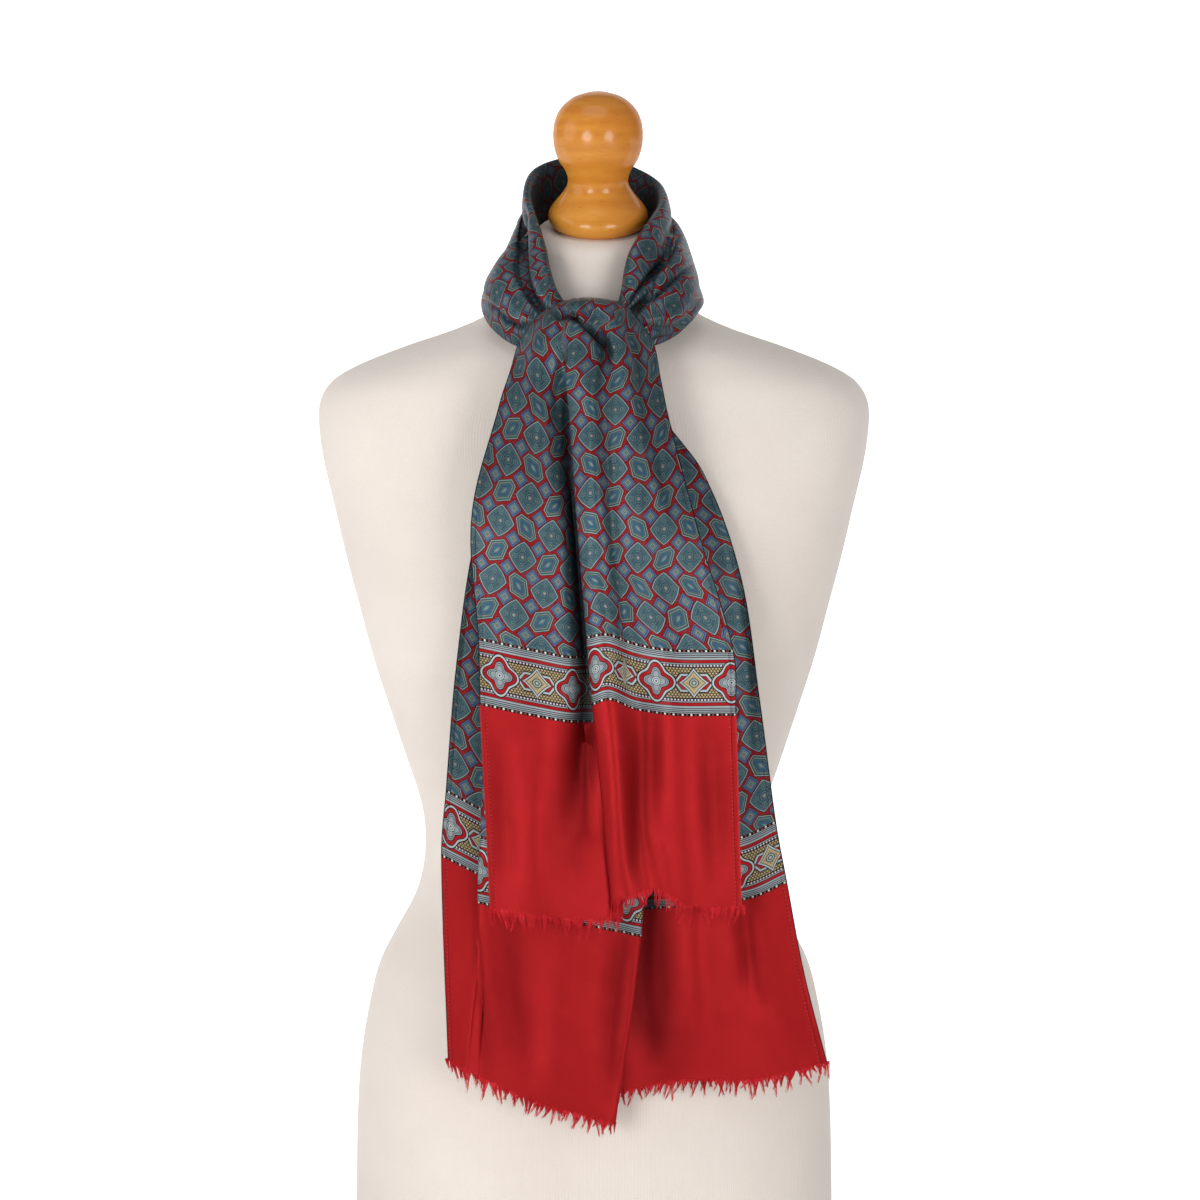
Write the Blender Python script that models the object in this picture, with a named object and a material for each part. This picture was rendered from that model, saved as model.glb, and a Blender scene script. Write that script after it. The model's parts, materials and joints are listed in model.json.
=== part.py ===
"""Long silk scarf wound once round the neck of a limbless dress form.

Millimetres in the tables, metres in the model. X is the form's left to right as seen from the
front, Y runs from the front (-) to the back (+), Z is up. The origin is the middle of the
form's flat underside. Every stretch of the scarf is a thin wall ruled by named lines that run
along the cloth: its edges, folds, ridges and troughs.
"""
import math
import random

import bpy
from mathutils import Vector

MM = 0.001

# ---------------------------------------------------------------- driving sizes (millimetres)
WALL = 1.2                   # wall that stands for the silk
SEAM = 0.35                  # gap between neighbouring pieces
FRINGE_GAP = 0.65            # gap between a hem and the strip that holds its fringe
STEEPEST_HEM = 0.3           # sine of the least angle a hem is taken to make with its fringe
TURN = 1.6                   # radius of a pressed fold, so layers lie two of these apart
FORM_CLEAR = 2.3             # nearest the middle of a cloth wall comes to the form
LAYER_PITCH = 2.6            # from one layer of the neck loop to the next, at the nearest
NECK_TILT = math.radians(13.0)   # the neck's top slopes down towards the front
FRINGE_STRIP = 3.0           # height of the strip that the frayed locks hang from
FRINGE_SHORT, FRINGE_LONG = 7.0, 17.0
FRINGE_LOCKS = 84            # locks along each end

# ------------------------------------------------------------------------------- dress form
# One row for each level: height, half width, front, back, squareness of the outline, share of
# the neck's tilt.
FORM_LEVELS = (
    #  z    half  front   back  square tilt
    (0.0, 177.0, -112.0, 118.0, 2.30, 0.0),
    (60.0, 176.5, -113.0, 121.0, 2.30, 0.0),
    (117.0, 175.0, -111.0, 121.0, 2.30, 0.0),
    (155.0, 172.0, -108.0, 118.0, 2.30, 0.0),
    (193.0, 165.5, -105.0, 112.0, 2.28, 0.0),
    (222.0, 158.0, -102.0, 105.0, 2.25, 0.0),
    (249.0, 144.5, -99.0, 98.0, 2.22, 0.0),
    (270.0, 133.0, -97.0, 92.0, 2.20, 0.0),
    (290.0, 126.5, -95.5, 88.0, 2.20, 0.0),
    (315.0, 123.6, -95.0, 86.0, 2.20, 0.0),
    (343.0, 126.4, -96.5, 86.0, 2.20, 0.0),
    (380.0, 138.0, -101.5, 89.0, 2.20, 0.0),
    (417.0, 150.0, -107.0, 94.0, 2.22, 0.0),
    (454.0, 161.5, -112.0, 99.0, 2.25, 0.0),
    (491.0, 171.0, -115.0, 103.0, 2.30, 0.0),
    (528.0, 180.5, -114.5, 106.0, 2.40, 0.0),
    (565.0, 189.0, -109.0, 107.0, 2.50, 0.0),
    (595.0, 196.0, -101.0, 105.0, 2.60, 0.0),
    (620.0, 199.5, -92.0, 101.0, 2.60, 0.0),
    (636.0, 199.0, -85.5, 96.5, 2.52, 0.0),
    (647.0, 194.0, -81.5, 92.5, 2.44, 0.0),
    (655.0, 185.5, -78.5, 89.0, 2.38, 0.0),
    (664.0, 168.0, -75.0, 85.0, 2.30, 0.05),
    (676.0, 137.0, -71.0, 79.0, 2.20, 0.1),
    (688.0, 101.0, -66.5, 72.0, 2.10, 0.2),
    (700.0, 75.0, -62.0, 65.0, 2.05, 0.35),
    (714.0, 59.5, -57.0, 58.5, 2.00, 0.55),
    (728.0, 51.5, -51.0, 53.0, 2.00, 0.8),
    (742.0, 48.5, -47.0, 49.5, 2.00, 1.0),
    (753.0, 46.5, -45.0, 47.5, 2.00, 1.0),
    (759.5, 43.5, -42.0, 44.5, 2.00, 1.0),
    (762.0, 39.0, -37.5, 40.0, 2.00, 1.0),
)
FORM_SIDES = 32

# --------------------------------------------------------------------------- wooden knob
# The turned outline from the flange's underside to the crown: radius, height on its own axis.
KNOB_OUTLINE = (
    # radius height
    (34.0, 0.0), (35.8, 1.6), (35.8, 5.0), (34.6, 7.6), (30.8, 15.5), (25.8, 24.0),
    (22.6, 32.0), (22.2, 38.0), (24.2, 44.5), (28.6, 51.5), (31.5, 59.5), (32.5, 67.5),
    (31.4, 76.5), (27.2, 85.5), (19.2, 92.8), (10.0, 96.4),
)
KNOB_CROWN = 97.3
KNOB_SIDES = 28
KNOB_FOOT = Vector((3.0, -1.0, 762.2))   # middle of the flange's underside

# ------------------------------------------------------------------------------ front end
# Lines along the cloth, from the fringed end up to the knot (run 397), over the top of the
# crossing and down behind it. A row gives the run along the cloth and the place there.
FRONT_LINES = {
    #              run     x       y       z
    "left_edge": ((0, -73.0, -150.0, 294.0), (140, -79.5, -152.0, 440.0),
                  (187, -80.5, -152.0, 485.5), (272, -85.0, -146.0, 570.0),
                  (350, -66.0, -122.0, 645.5), (375, -58.5, -109.0, 668.0),
                  (397, -51.8, -100.5, 689.5), (415, -41.5, -97.5, 703.0),
                  (431, -31.0, -95.0, 712.0), (445, -22.0, -85.0, 715.5),
                  (469, -14.0, -66.0, 713.5)),
    "left_swell": ((0, -38.0, -157.0, 290.0), (140, -42.0, -156.0, 432.5),
                   (187, -44.0, -156.5, 478.5), (272, -48.0, -152.0, 563.0),
                   (350, -42.0, -137.0, 640.0), (375, -40.5, -130.0, 664.5),
                   (397, -39.0, -123.5, 687.5), (415, -31.0, -117.0, 702.5),
                   (431, -25.5, -107.0, 713.0), (445, -18.5, -88.0, 716.5),
                   (469, -11.5, -66.0, 714.0)),
    "pleat_entry": ((0, 11.5, -151.0, 287.5), (140, -6.0, -149.0, 426.0),
                    (187, -10.0, -149.0, 471.5), (272, -16.0, -146.0, 557.0),
                    (350, -22.0, -129.5, 634.0), (375, -28.0, -126.0, 660.5),
                    (397, -31.5, -124.5, 688.0), (415, -25.0, -119.0, 703.0),
                    (431, -21.0, -108.0, 714.0), (445, -16.0, -89.0, 717.5),
                    (469, -9.5, -66.0, 714.5)),
    "pleat_tuck": ((0, 22.0, -147.5, 303.0), (140, 39.0, -146.5, 430.0),
                   (187, 36.0, -146.0, 476.0), (272, 22.0, -142.5, 562.0),
                   (350, 0.0, -126.5, 640.0), (375, -15.0, -124.5, 662.5),
                   (397, -24.5, -124.5, 688.0), (415, -21.5, -119.5, 703.5),
                   (431, -18.5, -108.5, 715.0), (445, -13.8, -89.0, 718.0),
                   (469, -7.5, -66.0, 714.5)),
    "fold_edge": ((0, 12.5, -153.5, 299.5), (140, -1.0, -153.0, 440.0),
                  (187, -5.0, -152.5, 486.5), (272, -12.0, -149.0, 571.5),
                  (350, -17.5, -135.0, 646.5), (375, -19.5, -132.0, 668.0),
                  (397, -17.5, -128.5, 688.5), (415, -18.0, -120.5, 704.0),
                  (431, -16.0, -109.0, 716.0), (445, -12.0, -89.5, 717.5),
                  (469, -5.5, -66.0, 714.5)),
    "fold_ridge": ((0, 25.0, -159.0, 304.5), (140, 10.5, -159.0, 444.5),
                   (187, 8.5, -158.5, 489.5), (272, 2.0, -155.5, 573.0),
                   (350, -4.0, -141.5, 645.0), (375, -6.5, -137.0, 667.5),
                   (397, -9.0, -130.5, 688.0), (415, -8.5, -122.5, 704.0),
                   (431, -11.5, -110.0, 717.0), (445, -8.5, -90.0, 718.5),
                   (469, -3.5, -66.0, 715.0)),
    "trough": ((0, 44.0, -152.5, 308.0), (140, 31.0, -151.0, 435.5),
               (187, 29.0, -151.0, 481.5), (272, 17.5, -151.5, 566.5),
               (350, 10.0, -139.0, 641.0), (375, 8.0, -132.5, 664.5),
               (397, 5.6, -125.0, 687.5), (415, 2.5, -115.5, 703.5),
               (431, -5.5, -106.5, 716.5), (445, -4.0, -89.0, 718.5),
               (469, -1.0, -66.0, 715.0)),
    "right_ridge": ((0, 68.0, -157.0, 296.5), (140, 58.0, -156.5, 433.0),
                    (187, 54.0, -156.0, 478.0), (272, 41.0, -153.5, 561.0),
                    (350, 27.0, -139.5, 639.5), (375, 23.5, -134.5, 663.5),
                    (397, 20.5, -128.0, 687.0), (415, 14.5, -121.0, 703.5),
                    (431, 5.0, -110.0, 717.0), (445, 4.5, -89.5, 718.0),
                    (469, 5.0, -66.0, 714.5)),
    "right_edge": ((0, 104.0, -149.0, 295.0), (140, 99.5, -150.0, 432.0),
                   (187, 97.5, -150.0, 476.5), (272, 74.0, -145.5, 556.5),
                   (350, 52.0, -121.0, 638.5), (375, 46.5, -108.0, 664.0),
                   (397, 41.5, -100.0, 688.0), (415, 31.0, -97.5, 703.0),
                   (431, 22.5, -95.5, 713.0), (445, 17.0, -86.0, 715.5),
                   (469, 11.0, -66.0, 713.5)),
}
# The cloth turns right back at the lines named here and passes its other lines smoothly.
FRONT_FOLDS = ("pleat_tuck", "fold_edge")
FRONT_TOP, KNOT_END = 397.0, 469.0     # runs where the front end meets the knot and that ends

# ------------------------------------------------------------------------------- back end
BACK_LINES = {
    #                 run      x       y      z
    "left_edge": ((0, -104.0, -124.0, 178.5), (140, -108.0, -124.0, 327.0),
                  (187, -104.5, -124.5, 373.0), (276, -97.0, -125.0, 460.0),
                  (366, -84.0, -122.0, 549.0), (440, -62.0, -110.0, 617.0),
                  (508, -34.0, -84.0, 674.0)),
    "strip_tuck": ((0, -91.0, -124.5, 171.5), (140, -74.0, -125.0, 309.0),
                   (187, -70.0, -125.5, 354.0), (276, -64.0, -125.5, 447.0),
                   (366, -56.0, -122.5, 538.0), (440, -40.0, -110.5, 612.0),
                   (508, -24.0, -84.5, 674.0)),
    "panel_fold": ((0, -80.0, -129.0, 166.0), (140, -82.0, -130.5, 294.5),
                   (187, -80.0, -130.5, 341.0), (276, -75.0, -129.5, 436.0),
                   (366, -65.0, -127.0, 530.0), (440, -47.0, -115.5, 607.0),
                   (508, -27.0, -89.0, 673.0)),
    "panel_swell": ((0, -36.0, -135.0, 148.5), (140, -26.0, -136.0, 284.0),
                    (187, -24.0, -136.0, 331.0), (276, -20.0, -135.5, 428.0),
                    (366, -14.0, -133.0, 525.0), (440, -8.0, -121.5, 603.0),
                    (508, -4.0, -94.0, 672.5)),
    "panel_edge": ((0, 15.5, -136.5, 136.0), (140, 33.0, -134.5, 271.0),
                   (187, 36.0, -134.0, 318.0), (276, 36.0, -133.5, 420.0),
                   (366, 32.0, -131.0, 522.0), (440, 22.0, -119.5, 602.0),
                   (508, 10.0, -93.0, 673.0)),
    "hidden_tuck": ((0, 0.0, -129.5, 152.0), (140, 8.0, -127.5, 284.0),
                    (187, 8.0, -127.5, 332.0), (276, 6.0, -127.5, 428.0),
                    (366, 5.0, -125.0, 525.0), (440, 4.0, -113.5, 604.0),
                    (508, 3.0, -86.5, 673.0)),
    "right_swell": ((0, 60.0, -127.5, 163.5), (140, 74.0, -126.5, 291.5),
                    (187, 72.0, -126.5, 335.5), (276, 66.0, -127.0, 431.0),
                    (366, 58.0, -125.0, 527.0), (440, 44.0, -113.5, 601.0),
                    (508, 18.0, -88.0, 673.5)),
    "right_trough": ((0, 118.0, -119.0, 163.0), (140, 110.0, -121.0, 295.0),
                     (187, 105.0, -121.5, 339.0), (276, 94.0, -122.5, 434.0),
                     (366, 82.0, -121.0, 527.0), (440, 60.0, -110.0, 599.0),
                     (508, 25.5, -85.5, 674.0)),
    "right_edge": ((0, 166.5, -118.0, 175.0), (70, 149.5, -119.0, 241.0), (140, 137.0, -120.0, 307.0),
                   (187, 129.0, -121.0, 350.0), (276, 117.0, -122.0, 438.0),
                   (366, 103.0, -120.0, 527.0), (440, 77.0, -108.0, 597.0),
                   (475, 48.0, -97.0, 636.0), (508, 30.0, -85.0, 674.0)),
}
BACK_FOLDS = ("strip_tuck", "panel_fold", "panel_edge", "hidden_tuck")
BACK_TOP = 508.0

# ----------------------------------------------------------------------------- neck loop
# The folded cloth across the loop: out from the neck, up, and how many layers lie beneath.
LOOP_FOLD = (
    #  out    up   layers
    (1.5, -27.0, 0),         # one edge, hidden against the neck
    (0.5, -8.0, 0),
    (0.5, 14.0, 0),          # inner face
    (3.5, 27.5, 0),
    (9.0, 29.0, 1),          # soft roll along the top
    (13.0, 20.0, 2),
    (12.5, 8.0, 2),          # crease outside the roll
    (17.5, 8.5, 2),
    (22.5, -2.0, 2),         # outer swell
    (21.5, -17.0, 2),
    (18.0, -25.0, 2),
    (14.0, -34.0, 2),        # turned under
    (8.5, -33.0, 1),
    (6.5, -24.0, 1),         # other edge, hidden inside
)
# The loop's path, a row for each station from the crossing round the left, the back and the
# right to the crossing again: place of the inner face, the fold's width and height as a share
# of the table above, and its roll in degrees.
LOOP_PATH = (
    #  x      y      z    wide  high  roll
    (-3.5, -71.0, 692.5, 0.85, 0.44, 0.0),
    (-19.0, -69.0, 694.5, 1.00, 0.50, 0.0),
    (-37.0, -60.0, 706.0, 1.18, 0.82, -3.0),
    (-45.0, -45.0, 722.0, 1.30, 1.00, -4.0),
    (-44.5, -22.0, 744.0, 0.85, 1.00, 0.0),
    (-42.0, 5.0, 763.0, 0.64, 1.00, 2.0),
    (-32.5, 32.0, 776.0, 0.60, 1.00, 0.0),
    (-17.0, 48.0, 782.0, 0.55, 1.00, 0.0),
    (1.0, 53.0, 781.5, 0.55, 1.00, 0.0),
    (20.0, 48.0, 776.0, 0.55, 1.00, 0.0),
    (37.0, 30.0, 767.0, 0.60, 1.00, 0.0),
    (46.5, 4.0, 756.0, 0.80, 1.00, -6.0),
    (47.0, -20.0, 743.0, 0.95, 1.05, -12.0),
    (42.0, -41.0, 728.0, 1.20, 1.08, -12.0),
    (33.0, -59.5, 708.0, 1.30, 0.84, -6.0),
    (19.0, -69.0, 695.0, 1.00, 0.50, 0.0),
    (3.5, -71.0, 692.5, 0.85, 0.44, 0.0),
)
NECK_AXIS = Vector((0.0, 2.0, 0.0))
STATION_APART = 20.0                   # nearest that stations lie where stretches meet
RUN_NUDGE, STATION_NUDGE = 1.0, 0.05   # how far the cloth is sampled to find its normals
LEFT_END, RIGHT_START = 6.0, 10.0      # stations where the back stretch begins and ends

# ------------------------------------------------------------------------------- curves
def spline_slopes(points):
    """Chord times and slopes of the smooth curve that passes every point."""
    times = [0.0]
    for start, end in zip(points, points[1:]):
        times.append(times[-1] + max(math.sqrt((end - start).length), 1e-4))
    rates = [(end - start) / (after - before) for start, end, before, after
             in zip(points, points[1:], times, times[1:])]
    slopes = [rates[0]]
    for index in range(1, len(points) - 1):
        before = times[index] - times[index - 1]
        after = times[index + 1] - times[index]
        slopes.append((rates[index - 1] * after + rates[index] * before) / (before + after))
    slopes.append(rates[-1])
    return times, slopes


def spline(points, counts):
    """Points along the smooth curve, with the given count of steps in each span."""
    times, slopes = spline_slopes(points)
    curve = []
    for index, count in enumerate(counts):
        span = times[index + 1] - times[index]
        for step in range(count):
            share = step / count
            cube, square = share ** 3, share ** 2
            curve.append(points[index] * (2 * cube - 3 * square + 1)
                         + slopes[index] * span * (cube - 2 * square + share)
                         + points[index + 1] * (3 * square - 2 * cube)
                         + slopes[index + 1] * span * (cube - square))
    curve.append(points[-1].copy())
    return curve


def column_at(rows, key):
    """The row of a table, worked out smoothly, where its first column equals key."""
    last = len(rows) - 1
    index = 0
    while index < last - 1 and rows[index + 1][0] < key:
        index += 1
    low, high = rows[index], rows[index + 1]
    span = high[0] - low[0]
    share = (key - low[0]) / span
    before = rows[index - 1] if index > 0 else None
    after = rows[index + 2] if index < last - 1 else None
    values = []
    for column in range(1, len(low)):
        slope = (high[column] - low[column]) / span
        slope_low = slope_high = slope
        if before:
            slope_low = (high[column] - before[column]) / (high[0] - before[0])
        if after:
            slope_high = (after[column] - low[column]) / (after[0] - low[0])
        cube, square = share ** 3, share ** 2
        values.append((2 * cube - 3 * square + 1) * low[column]
                      + (cube - 2 * square + share) * span * slope_low
                      + (3 * square - 2 * cube) * high[column]
                      + (cube - square) * span * slope_high)
    return values


# ------------------------------------------------------------------------- the form's skin
def form_level(height):
    height = min(max(height, FORM_LEVELS[0][0]), FORM_LEVELS[-1][0])
    return column_at(FORM_LEVELS, height)


def form_field(point):
    """Below 0 inside the form, above 0 outside it."""
    height = point.z
    for _ in range(3):
        tilt = form_level(height)[4]
        height = point.z - point.y * math.tan(NECK_TILT * tilt)
    half, front, back, square, _tilt = form_level(height)
    middle, depth = (front + back) / 2, (back - front) / 2
    return ((abs(point.x) / half) ** square
            + (abs(point.y - middle) / depth) ** square) ** (1 / square) - 1


def clear_of_form(point, margin):
    """Move a point straight out of the form until it is the margin away from its skin."""
    step = 0.5
    for _ in range(5):
        if point.z > FORM_LEVELS[-1][0] + 12.0:
            return point
        here = form_field(point)
        slope = Vector([(form_field(point + axis * step) - here) / step
                        for axis in (Vector((1, 0, 0)), Vector((0, 1, 0)), Vector((0, 0, 1)))])
        if slope.length < 1e-6:
            return point
        away = here / slope.length
        if away >= margin:
            return point
        point = point + slope.normalized() * (margin - away)
    return point


# ------------------------------------------------------------------------------- meshes
def add_object(name, verts, faces, material, smooth=True):
    mesh = bpy.data.meshes.new(name)
    mesh.from_pydata([tuple(v * MM for v in vert) for vert in verts], [], faces)
    mesh.update()
    if smooth:
        mesh.shade_smooth()
        mesh.set_sharp_from_angle(angle=math.radians(50))
    mesh.materials.append(material)
    thing = bpy.data.objects.new(name, mesh)
    bpy.context.scene.collection.objects.link(thing)
    return thing


def make_material(name, colour, roughness, metallic=0.0):
    material = bpy.data.materials.new(name)
    material.use_nodes = True
    shader = material.node_tree.nodes["Principled BSDF"]
    shader.inputs["Base Color"].default_value = (*colour, 1.0)
    shader.inputs["Roughness"].default_value = roughness
    shader.inputs["Metallic"].default_value = metallic
    return material


def cloth_grid(section_at, start, end, rows, nudge):
    """Points and normals over a stretch of cloth, whose cross line at a run is section_at(run).

    The normals come from cross lines a nudge to each side, so they agree across a seam.
    """
    grid, normals = [], []
    for i in range(rows):
        run = start + (end - start) * i / (rows - 1)
        line, ahead, behind = section_at(run), section_at(run + nudge), section_at(run - nudge)
        grid.append(line)
        normals.append([
            (ahead[j] - behind[j]).cross(line[min(j + 1, len(line) - 1)]
                                         - line[max(j - 1, 0)]).normalized()
            for j in range(len(line))])
    return grid, normals


def wall_mesh(grid, normals, wall=WALL):
    """Vertices and faces of the closed wall whose middle is the grid of points."""
    rows, columns = len(grid), len(grid[0])
    verts, faces = [], []
    for side in (0.5, -0.5):
        for i in range(rows):
            for j in range(columns):
                verts.append(grid[i][j] + normals[i][j] * wall * side)
    back = rows * columns

    def at(i, j):
        return i * columns + j

    for i in range(rows - 1):
        for j in range(columns - 1):
            a, b, c, d = at(i, j), at(i + 1, j), at(i + 1, j + 1), at(i, j + 1)
            faces.append((a, b, c, d))
            faces.append((back + d, back + c, back + b, back + a))
    for i in range(rows - 1):
        a, b = at(i, 0), at(i + 1, 0)
        faces.append((b, a, back + a, back + b))
        c, d = at(i, columns - 1), at(i + 1, columns - 1)
        faces.append((c, d, back + d, back + c))
    for j in range(columns - 1):
        a, b = at(0, j), at(0, j + 1)
        faces.append((a, b, back + b, back + a))
        c, d = at(rows - 1, j), at(rows - 1, j + 1)
        faces.append((d, c, back + c, back + d))
    return verts, faces


# ---------------------------------------------------------------------- cloth by its lines
def turned_fold(before, place, after):
    """Three points round a fold: on the layer before it, outermost, on the layer after it."""
    arrive, leave = place - before, after - place
    sharp = (arrive.normalized() - leave.normalized()).length / 2
    apart = Vector((0, TURN * sharp, 0)) * (1 if before.y > after.y else -1)
    return [place - arrive.normalized() * min(1.2 * TURN, 0.3 * arrive.length) + apart,
            place,
            place + leave.normalized() * min(1.2 * TURN, 0.3 * leave.length) - apart]


def section(lines, folds, run, steps, turn_steps):
    """The cloth's cross line at a run: smooth through its lines, turned back at the folds."""
    names = list(lines)
    places = [Vector(column_at(lines[name], run)) for name in names]
    controls, counts = [places[0]], []
    for index in range(1, len(names)):
        counts.append(steps)
        if names[index] in folds:
            controls += turned_fold(places[index - 1], places[index], places[index + 1])
            counts += [turn_steps, turn_steps]
        else:
            controls.append(places[index])
    return spline(controls, counts)


def ruled_cloth(lines, folds, start, end, rows, steps=2, turn_steps=2):
    """Points and normals over a stretch of cloth, from one run to another."""
    return cloth_grid(lambda run: section(lines, folds, run, steps, turn_steps),
                      start, end, rows, RUN_NUDGE)


# ---------------------------------------------------------------------------- neck loop
def path_row(station):
    rows = [(index, *row) for index, row in enumerate(LOOP_PATH)]
    return column_at(rows, station)


def loop_section(station, steps):
    """The folded cloth across the loop at a station, kept clear of the form layer by layer."""
    x, y, z, wide, high, roll = path_row(station)
    here = Vector((x, y, z))
    along = (Vector(path_row(station + 0.2)[:3]) - Vector(path_row(station - 0.2)[:3]))
    along.normalize()
    out = here - NECK_AXIS
    out.z = 0.0
    out = (out - along * out.dot(along)).normalized()
    up = along.cross(out)
    if up.z < 0:
        up = -up
    lean = math.radians(roll)
    out, up = (out * math.cos(lean) - up * math.sin(lean),
               up * math.cos(lean) + out * math.sin(lean))
    controls = [clear_of_form(here + out * (depth * wide) + up * (rise * high),
                              FORM_CLEAR + layers * LAYER_PITCH)
                for depth, rise, layers in LOOP_FOLD]
    return [clear_of_form(point, FORM_CLEAR * 0.8)
            for point in spline(controls, [steps] * (len(controls) - 1))]


def loop_stretch(start, end, rows, steps=2):
    return cloth_grid(lambda station: loop_section(station, steps), start, end, rows,
                      STATION_NUDGE)


# -------------------------------------------------------------------------------- fringe
def even_points(polyline, count):
    """Points at equal distances along a polyline, and each one's place in it."""
    lengths = [0.0]
    for start, end in zip(polyline, polyline[1:]):
        lengths.append(lengths[-1] + (end - start).length)
    places, index = [], 0
    for step in range(count):
        target = lengths[-1] * step / (count - 1)
        while index < len(polyline) - 2 and lengths[index + 1] < target:
            index += 1
        places.append(index + (target - lengths[index]) / (lengths[index + 1] - lengths[index]))
    return blend_at(polyline, places), places


def blend_at(values, places):
    """The vectors of a list at fractional places in it."""
    blended = []
    for place in places:
        index = min(int(place), len(values) - 2)
        blended.append(values[index].lerp(values[index + 1], place - index))
    return blended


def fringe_mesh(grid, normals, seed):
    """A narrow strip along the hem, with a tapered lock drawn from each of its lower faces."""
    draw = random.Random(seed)
    hem, places = even_points(grid[0], FRINGE_LOCKS + 1)
    above = blend_at(grid[1], places)
    down = [(h - a).normalized() for h, a in zip(hem, above)]
    facing = [normal.normalized() for normal in blend_at(normals[0], places)]
    gaps = []
    for j, fall in enumerate(down):
        course = (hem[min(j + 1, len(hem) - 1)] - hem[max(j - 1, 0)]).normalized()
        gaps.append(FRINGE_GAP / max(course.cross(fall).length, STEEPEST_HEM))
    strip = [[p + d * (gap + FRINGE_STRIP) for p, d, gap in zip(hem, down, gaps)],
             [p + d * gap for p, d, gap in zip(hem, down, gaps)]]
    verts, faces = wall_mesh(strip, [facing, facing])
    columns = len(hem)
    front_low, back_low = 0, 2 * columns
    faces = [face for face in faces
             if not all(v < columns or back_low <= v < back_low + columns for v in face)]
    for j in range(columns - 1):
        root = [front_low + j, front_low + j + 1, back_low + j + 1, back_low + j]
        middle = sum((verts[v] for v in root), Vector()) / 4
        across = (verts[root[1]] - verts[root[0]]).normalized()
        level = math.hypot(across.x, across.y) ** 2
        length = draw.uniform(FRINGE_SHORT, FRINGE_LONG)
        lean = across * draw.uniform(-1.1, 1.1) * level
        waist = middle + down[j] * length * 0.45 + lean * 0.4
        ring = []
        for v in root:
            ring.append(len(verts))
            verts.append(waist + (verts[v] - middle) * 0.5 * level)
        tip = len(verts)
        verts.append(middle + down[j] * length + lean)
        for a, b in ((0, 1), (1, 2), (2, 3), (3, 0)):
            faces.append((root[a], root[b], ring[b], ring[a]))
            faces.append((ring[a], ring[b], tip))
    return verts, faces


# ------------------------------------------------------------------------- form and knob
def outline_point(level, side):
    z, half, front, back, square, tilt = level
    turn = 2 * math.pi * side / FORM_SIDES
    flat = 2 / square
    x = half * math.copysign(abs(math.cos(turn)) ** flat, math.cos(turn))
    y = (front + back) / 2 + (back - front) / 2 * math.copysign(
        abs(math.sin(turn)) ** flat, math.sin(turn))
    return Vector((x, y, z + y * math.tan(NECK_TILT * tilt)))


def form_mesh():
    verts = [outline_point(level, side) for level in FORM_LEVELS for side in range(FORM_SIDES)]
    faces = [tuple(reversed(range(FORM_SIDES)))]
    for ring in range(len(FORM_LEVELS) - 1):
        for side in range(FORM_SIDES):
            low, turn = ring * FORM_SIDES, (side + 1) % FORM_SIDES
            faces.append((low + side, low + turn, low + FORM_SIDES + turn,
                          low + FORM_SIDES + side))
    last = (len(FORM_LEVELS) - 1) * FORM_SIDES
    faces.append(tuple(range(last, last + FORM_SIDES)))
    return verts, faces


def knob_mesh():
    verts, faces = [], [tuple(reversed(range(KNOB_SIDES)))]
    for radius, height in KNOB_OUTLINE:
        for side in range(KNOB_SIDES):
            turn = 2 * math.pi * side / KNOB_SIDES
            verts.append(Vector((radius * math.cos(turn), radius * math.sin(turn), height)))
    crown = len(verts)
    verts.append(Vector((0.0, 0.0, KNOB_CROWN)))
    for ring in range(len(KNOB_OUTLINE)):
        for side in range(KNOB_SIDES):
            low, turn = ring * KNOB_SIDES, (side + 1) % KNOB_SIDES
            if ring == len(KNOB_OUTLINE) - 1:
                faces.append((low + side, low + turn, crown))
            else:
                faces.append((low + side, low + turn, low + KNOB_SIDES + turn,
                              low + KNOB_SIDES + side))
    return verts, faces


# --------------------------------------------------------------------------------- build
def build():
    for thing in list(bpy.data.objects):
        bpy.data.objects.remove(thing, do_unlink=True)
    jersey = make_material("cream_jersey", (0.76, 0.70, 0.62), 0.9)
    wood = make_material("varnished_wood", (0.60, 0.26, 0.06), 0.25)
    silk = make_material("printed_silk", (0.06, 0.13, 0.14), 0.45)
    red = make_material("red_silk", (0.43, 0.02, 0.025), 0.45)

    base = bpy.data.objects.new("scarf_on_form", None)
    bpy.context.scene.collection.objects.link(base)

    things = [add_object("form_body", *form_mesh(), jersey)]
    knob = add_object("neck_knob", *knob_mesh(), wood)
    knob.location = KNOB_FOOT * MM
    knob.rotation_euler = (NECK_TILT, 0.0, 0.0)
    things.append(knob)

    half_seam = SEAM / 2
    front = ruled_cloth(FRONT_LINES, FRONT_FOLDS, 0.0, FRONT_TOP - half_seam, 17)
    knot = ruled_cloth(FRONT_LINES, FRONT_FOLDS, FRONT_TOP + half_seam, KNOT_END, 9)
    back = ruled_cloth(BACK_LINES, BACK_FOLDS, 0.0, BACK_TOP, 18)
    things.append(add_object("front_tail", *wall_mesh(*front), silk))
    things.append(add_object("knot", *wall_mesh(*knot), silk))
    things.append(add_object("back_tail", *wall_mesh(*back), silk))
    things.append(add_object("front_fringe", *fringe_mesh(*front, 3), red, False))
    things.append(add_object("back_fringe", *fringe_mesh(*back, 5), red, False))

    stations = len(LOOP_PATH) - 1.0
    gap = half_seam / STATION_APART
    for name, start, end, rows in (("wrap_left", 0.0, LEFT_END - gap, 12),
                                   ("wrap_back", LEFT_END + gap, RIGHT_START - gap, 8),
                                   ("wrap_right", RIGHT_START + gap, stations, 12)):
        things.append(add_object(name, *wall_mesh(*loop_stretch(start, end, rows)), silk))
    for thing in things:
        thing.parent = base


build()
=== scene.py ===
import json
import math
import random

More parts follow.
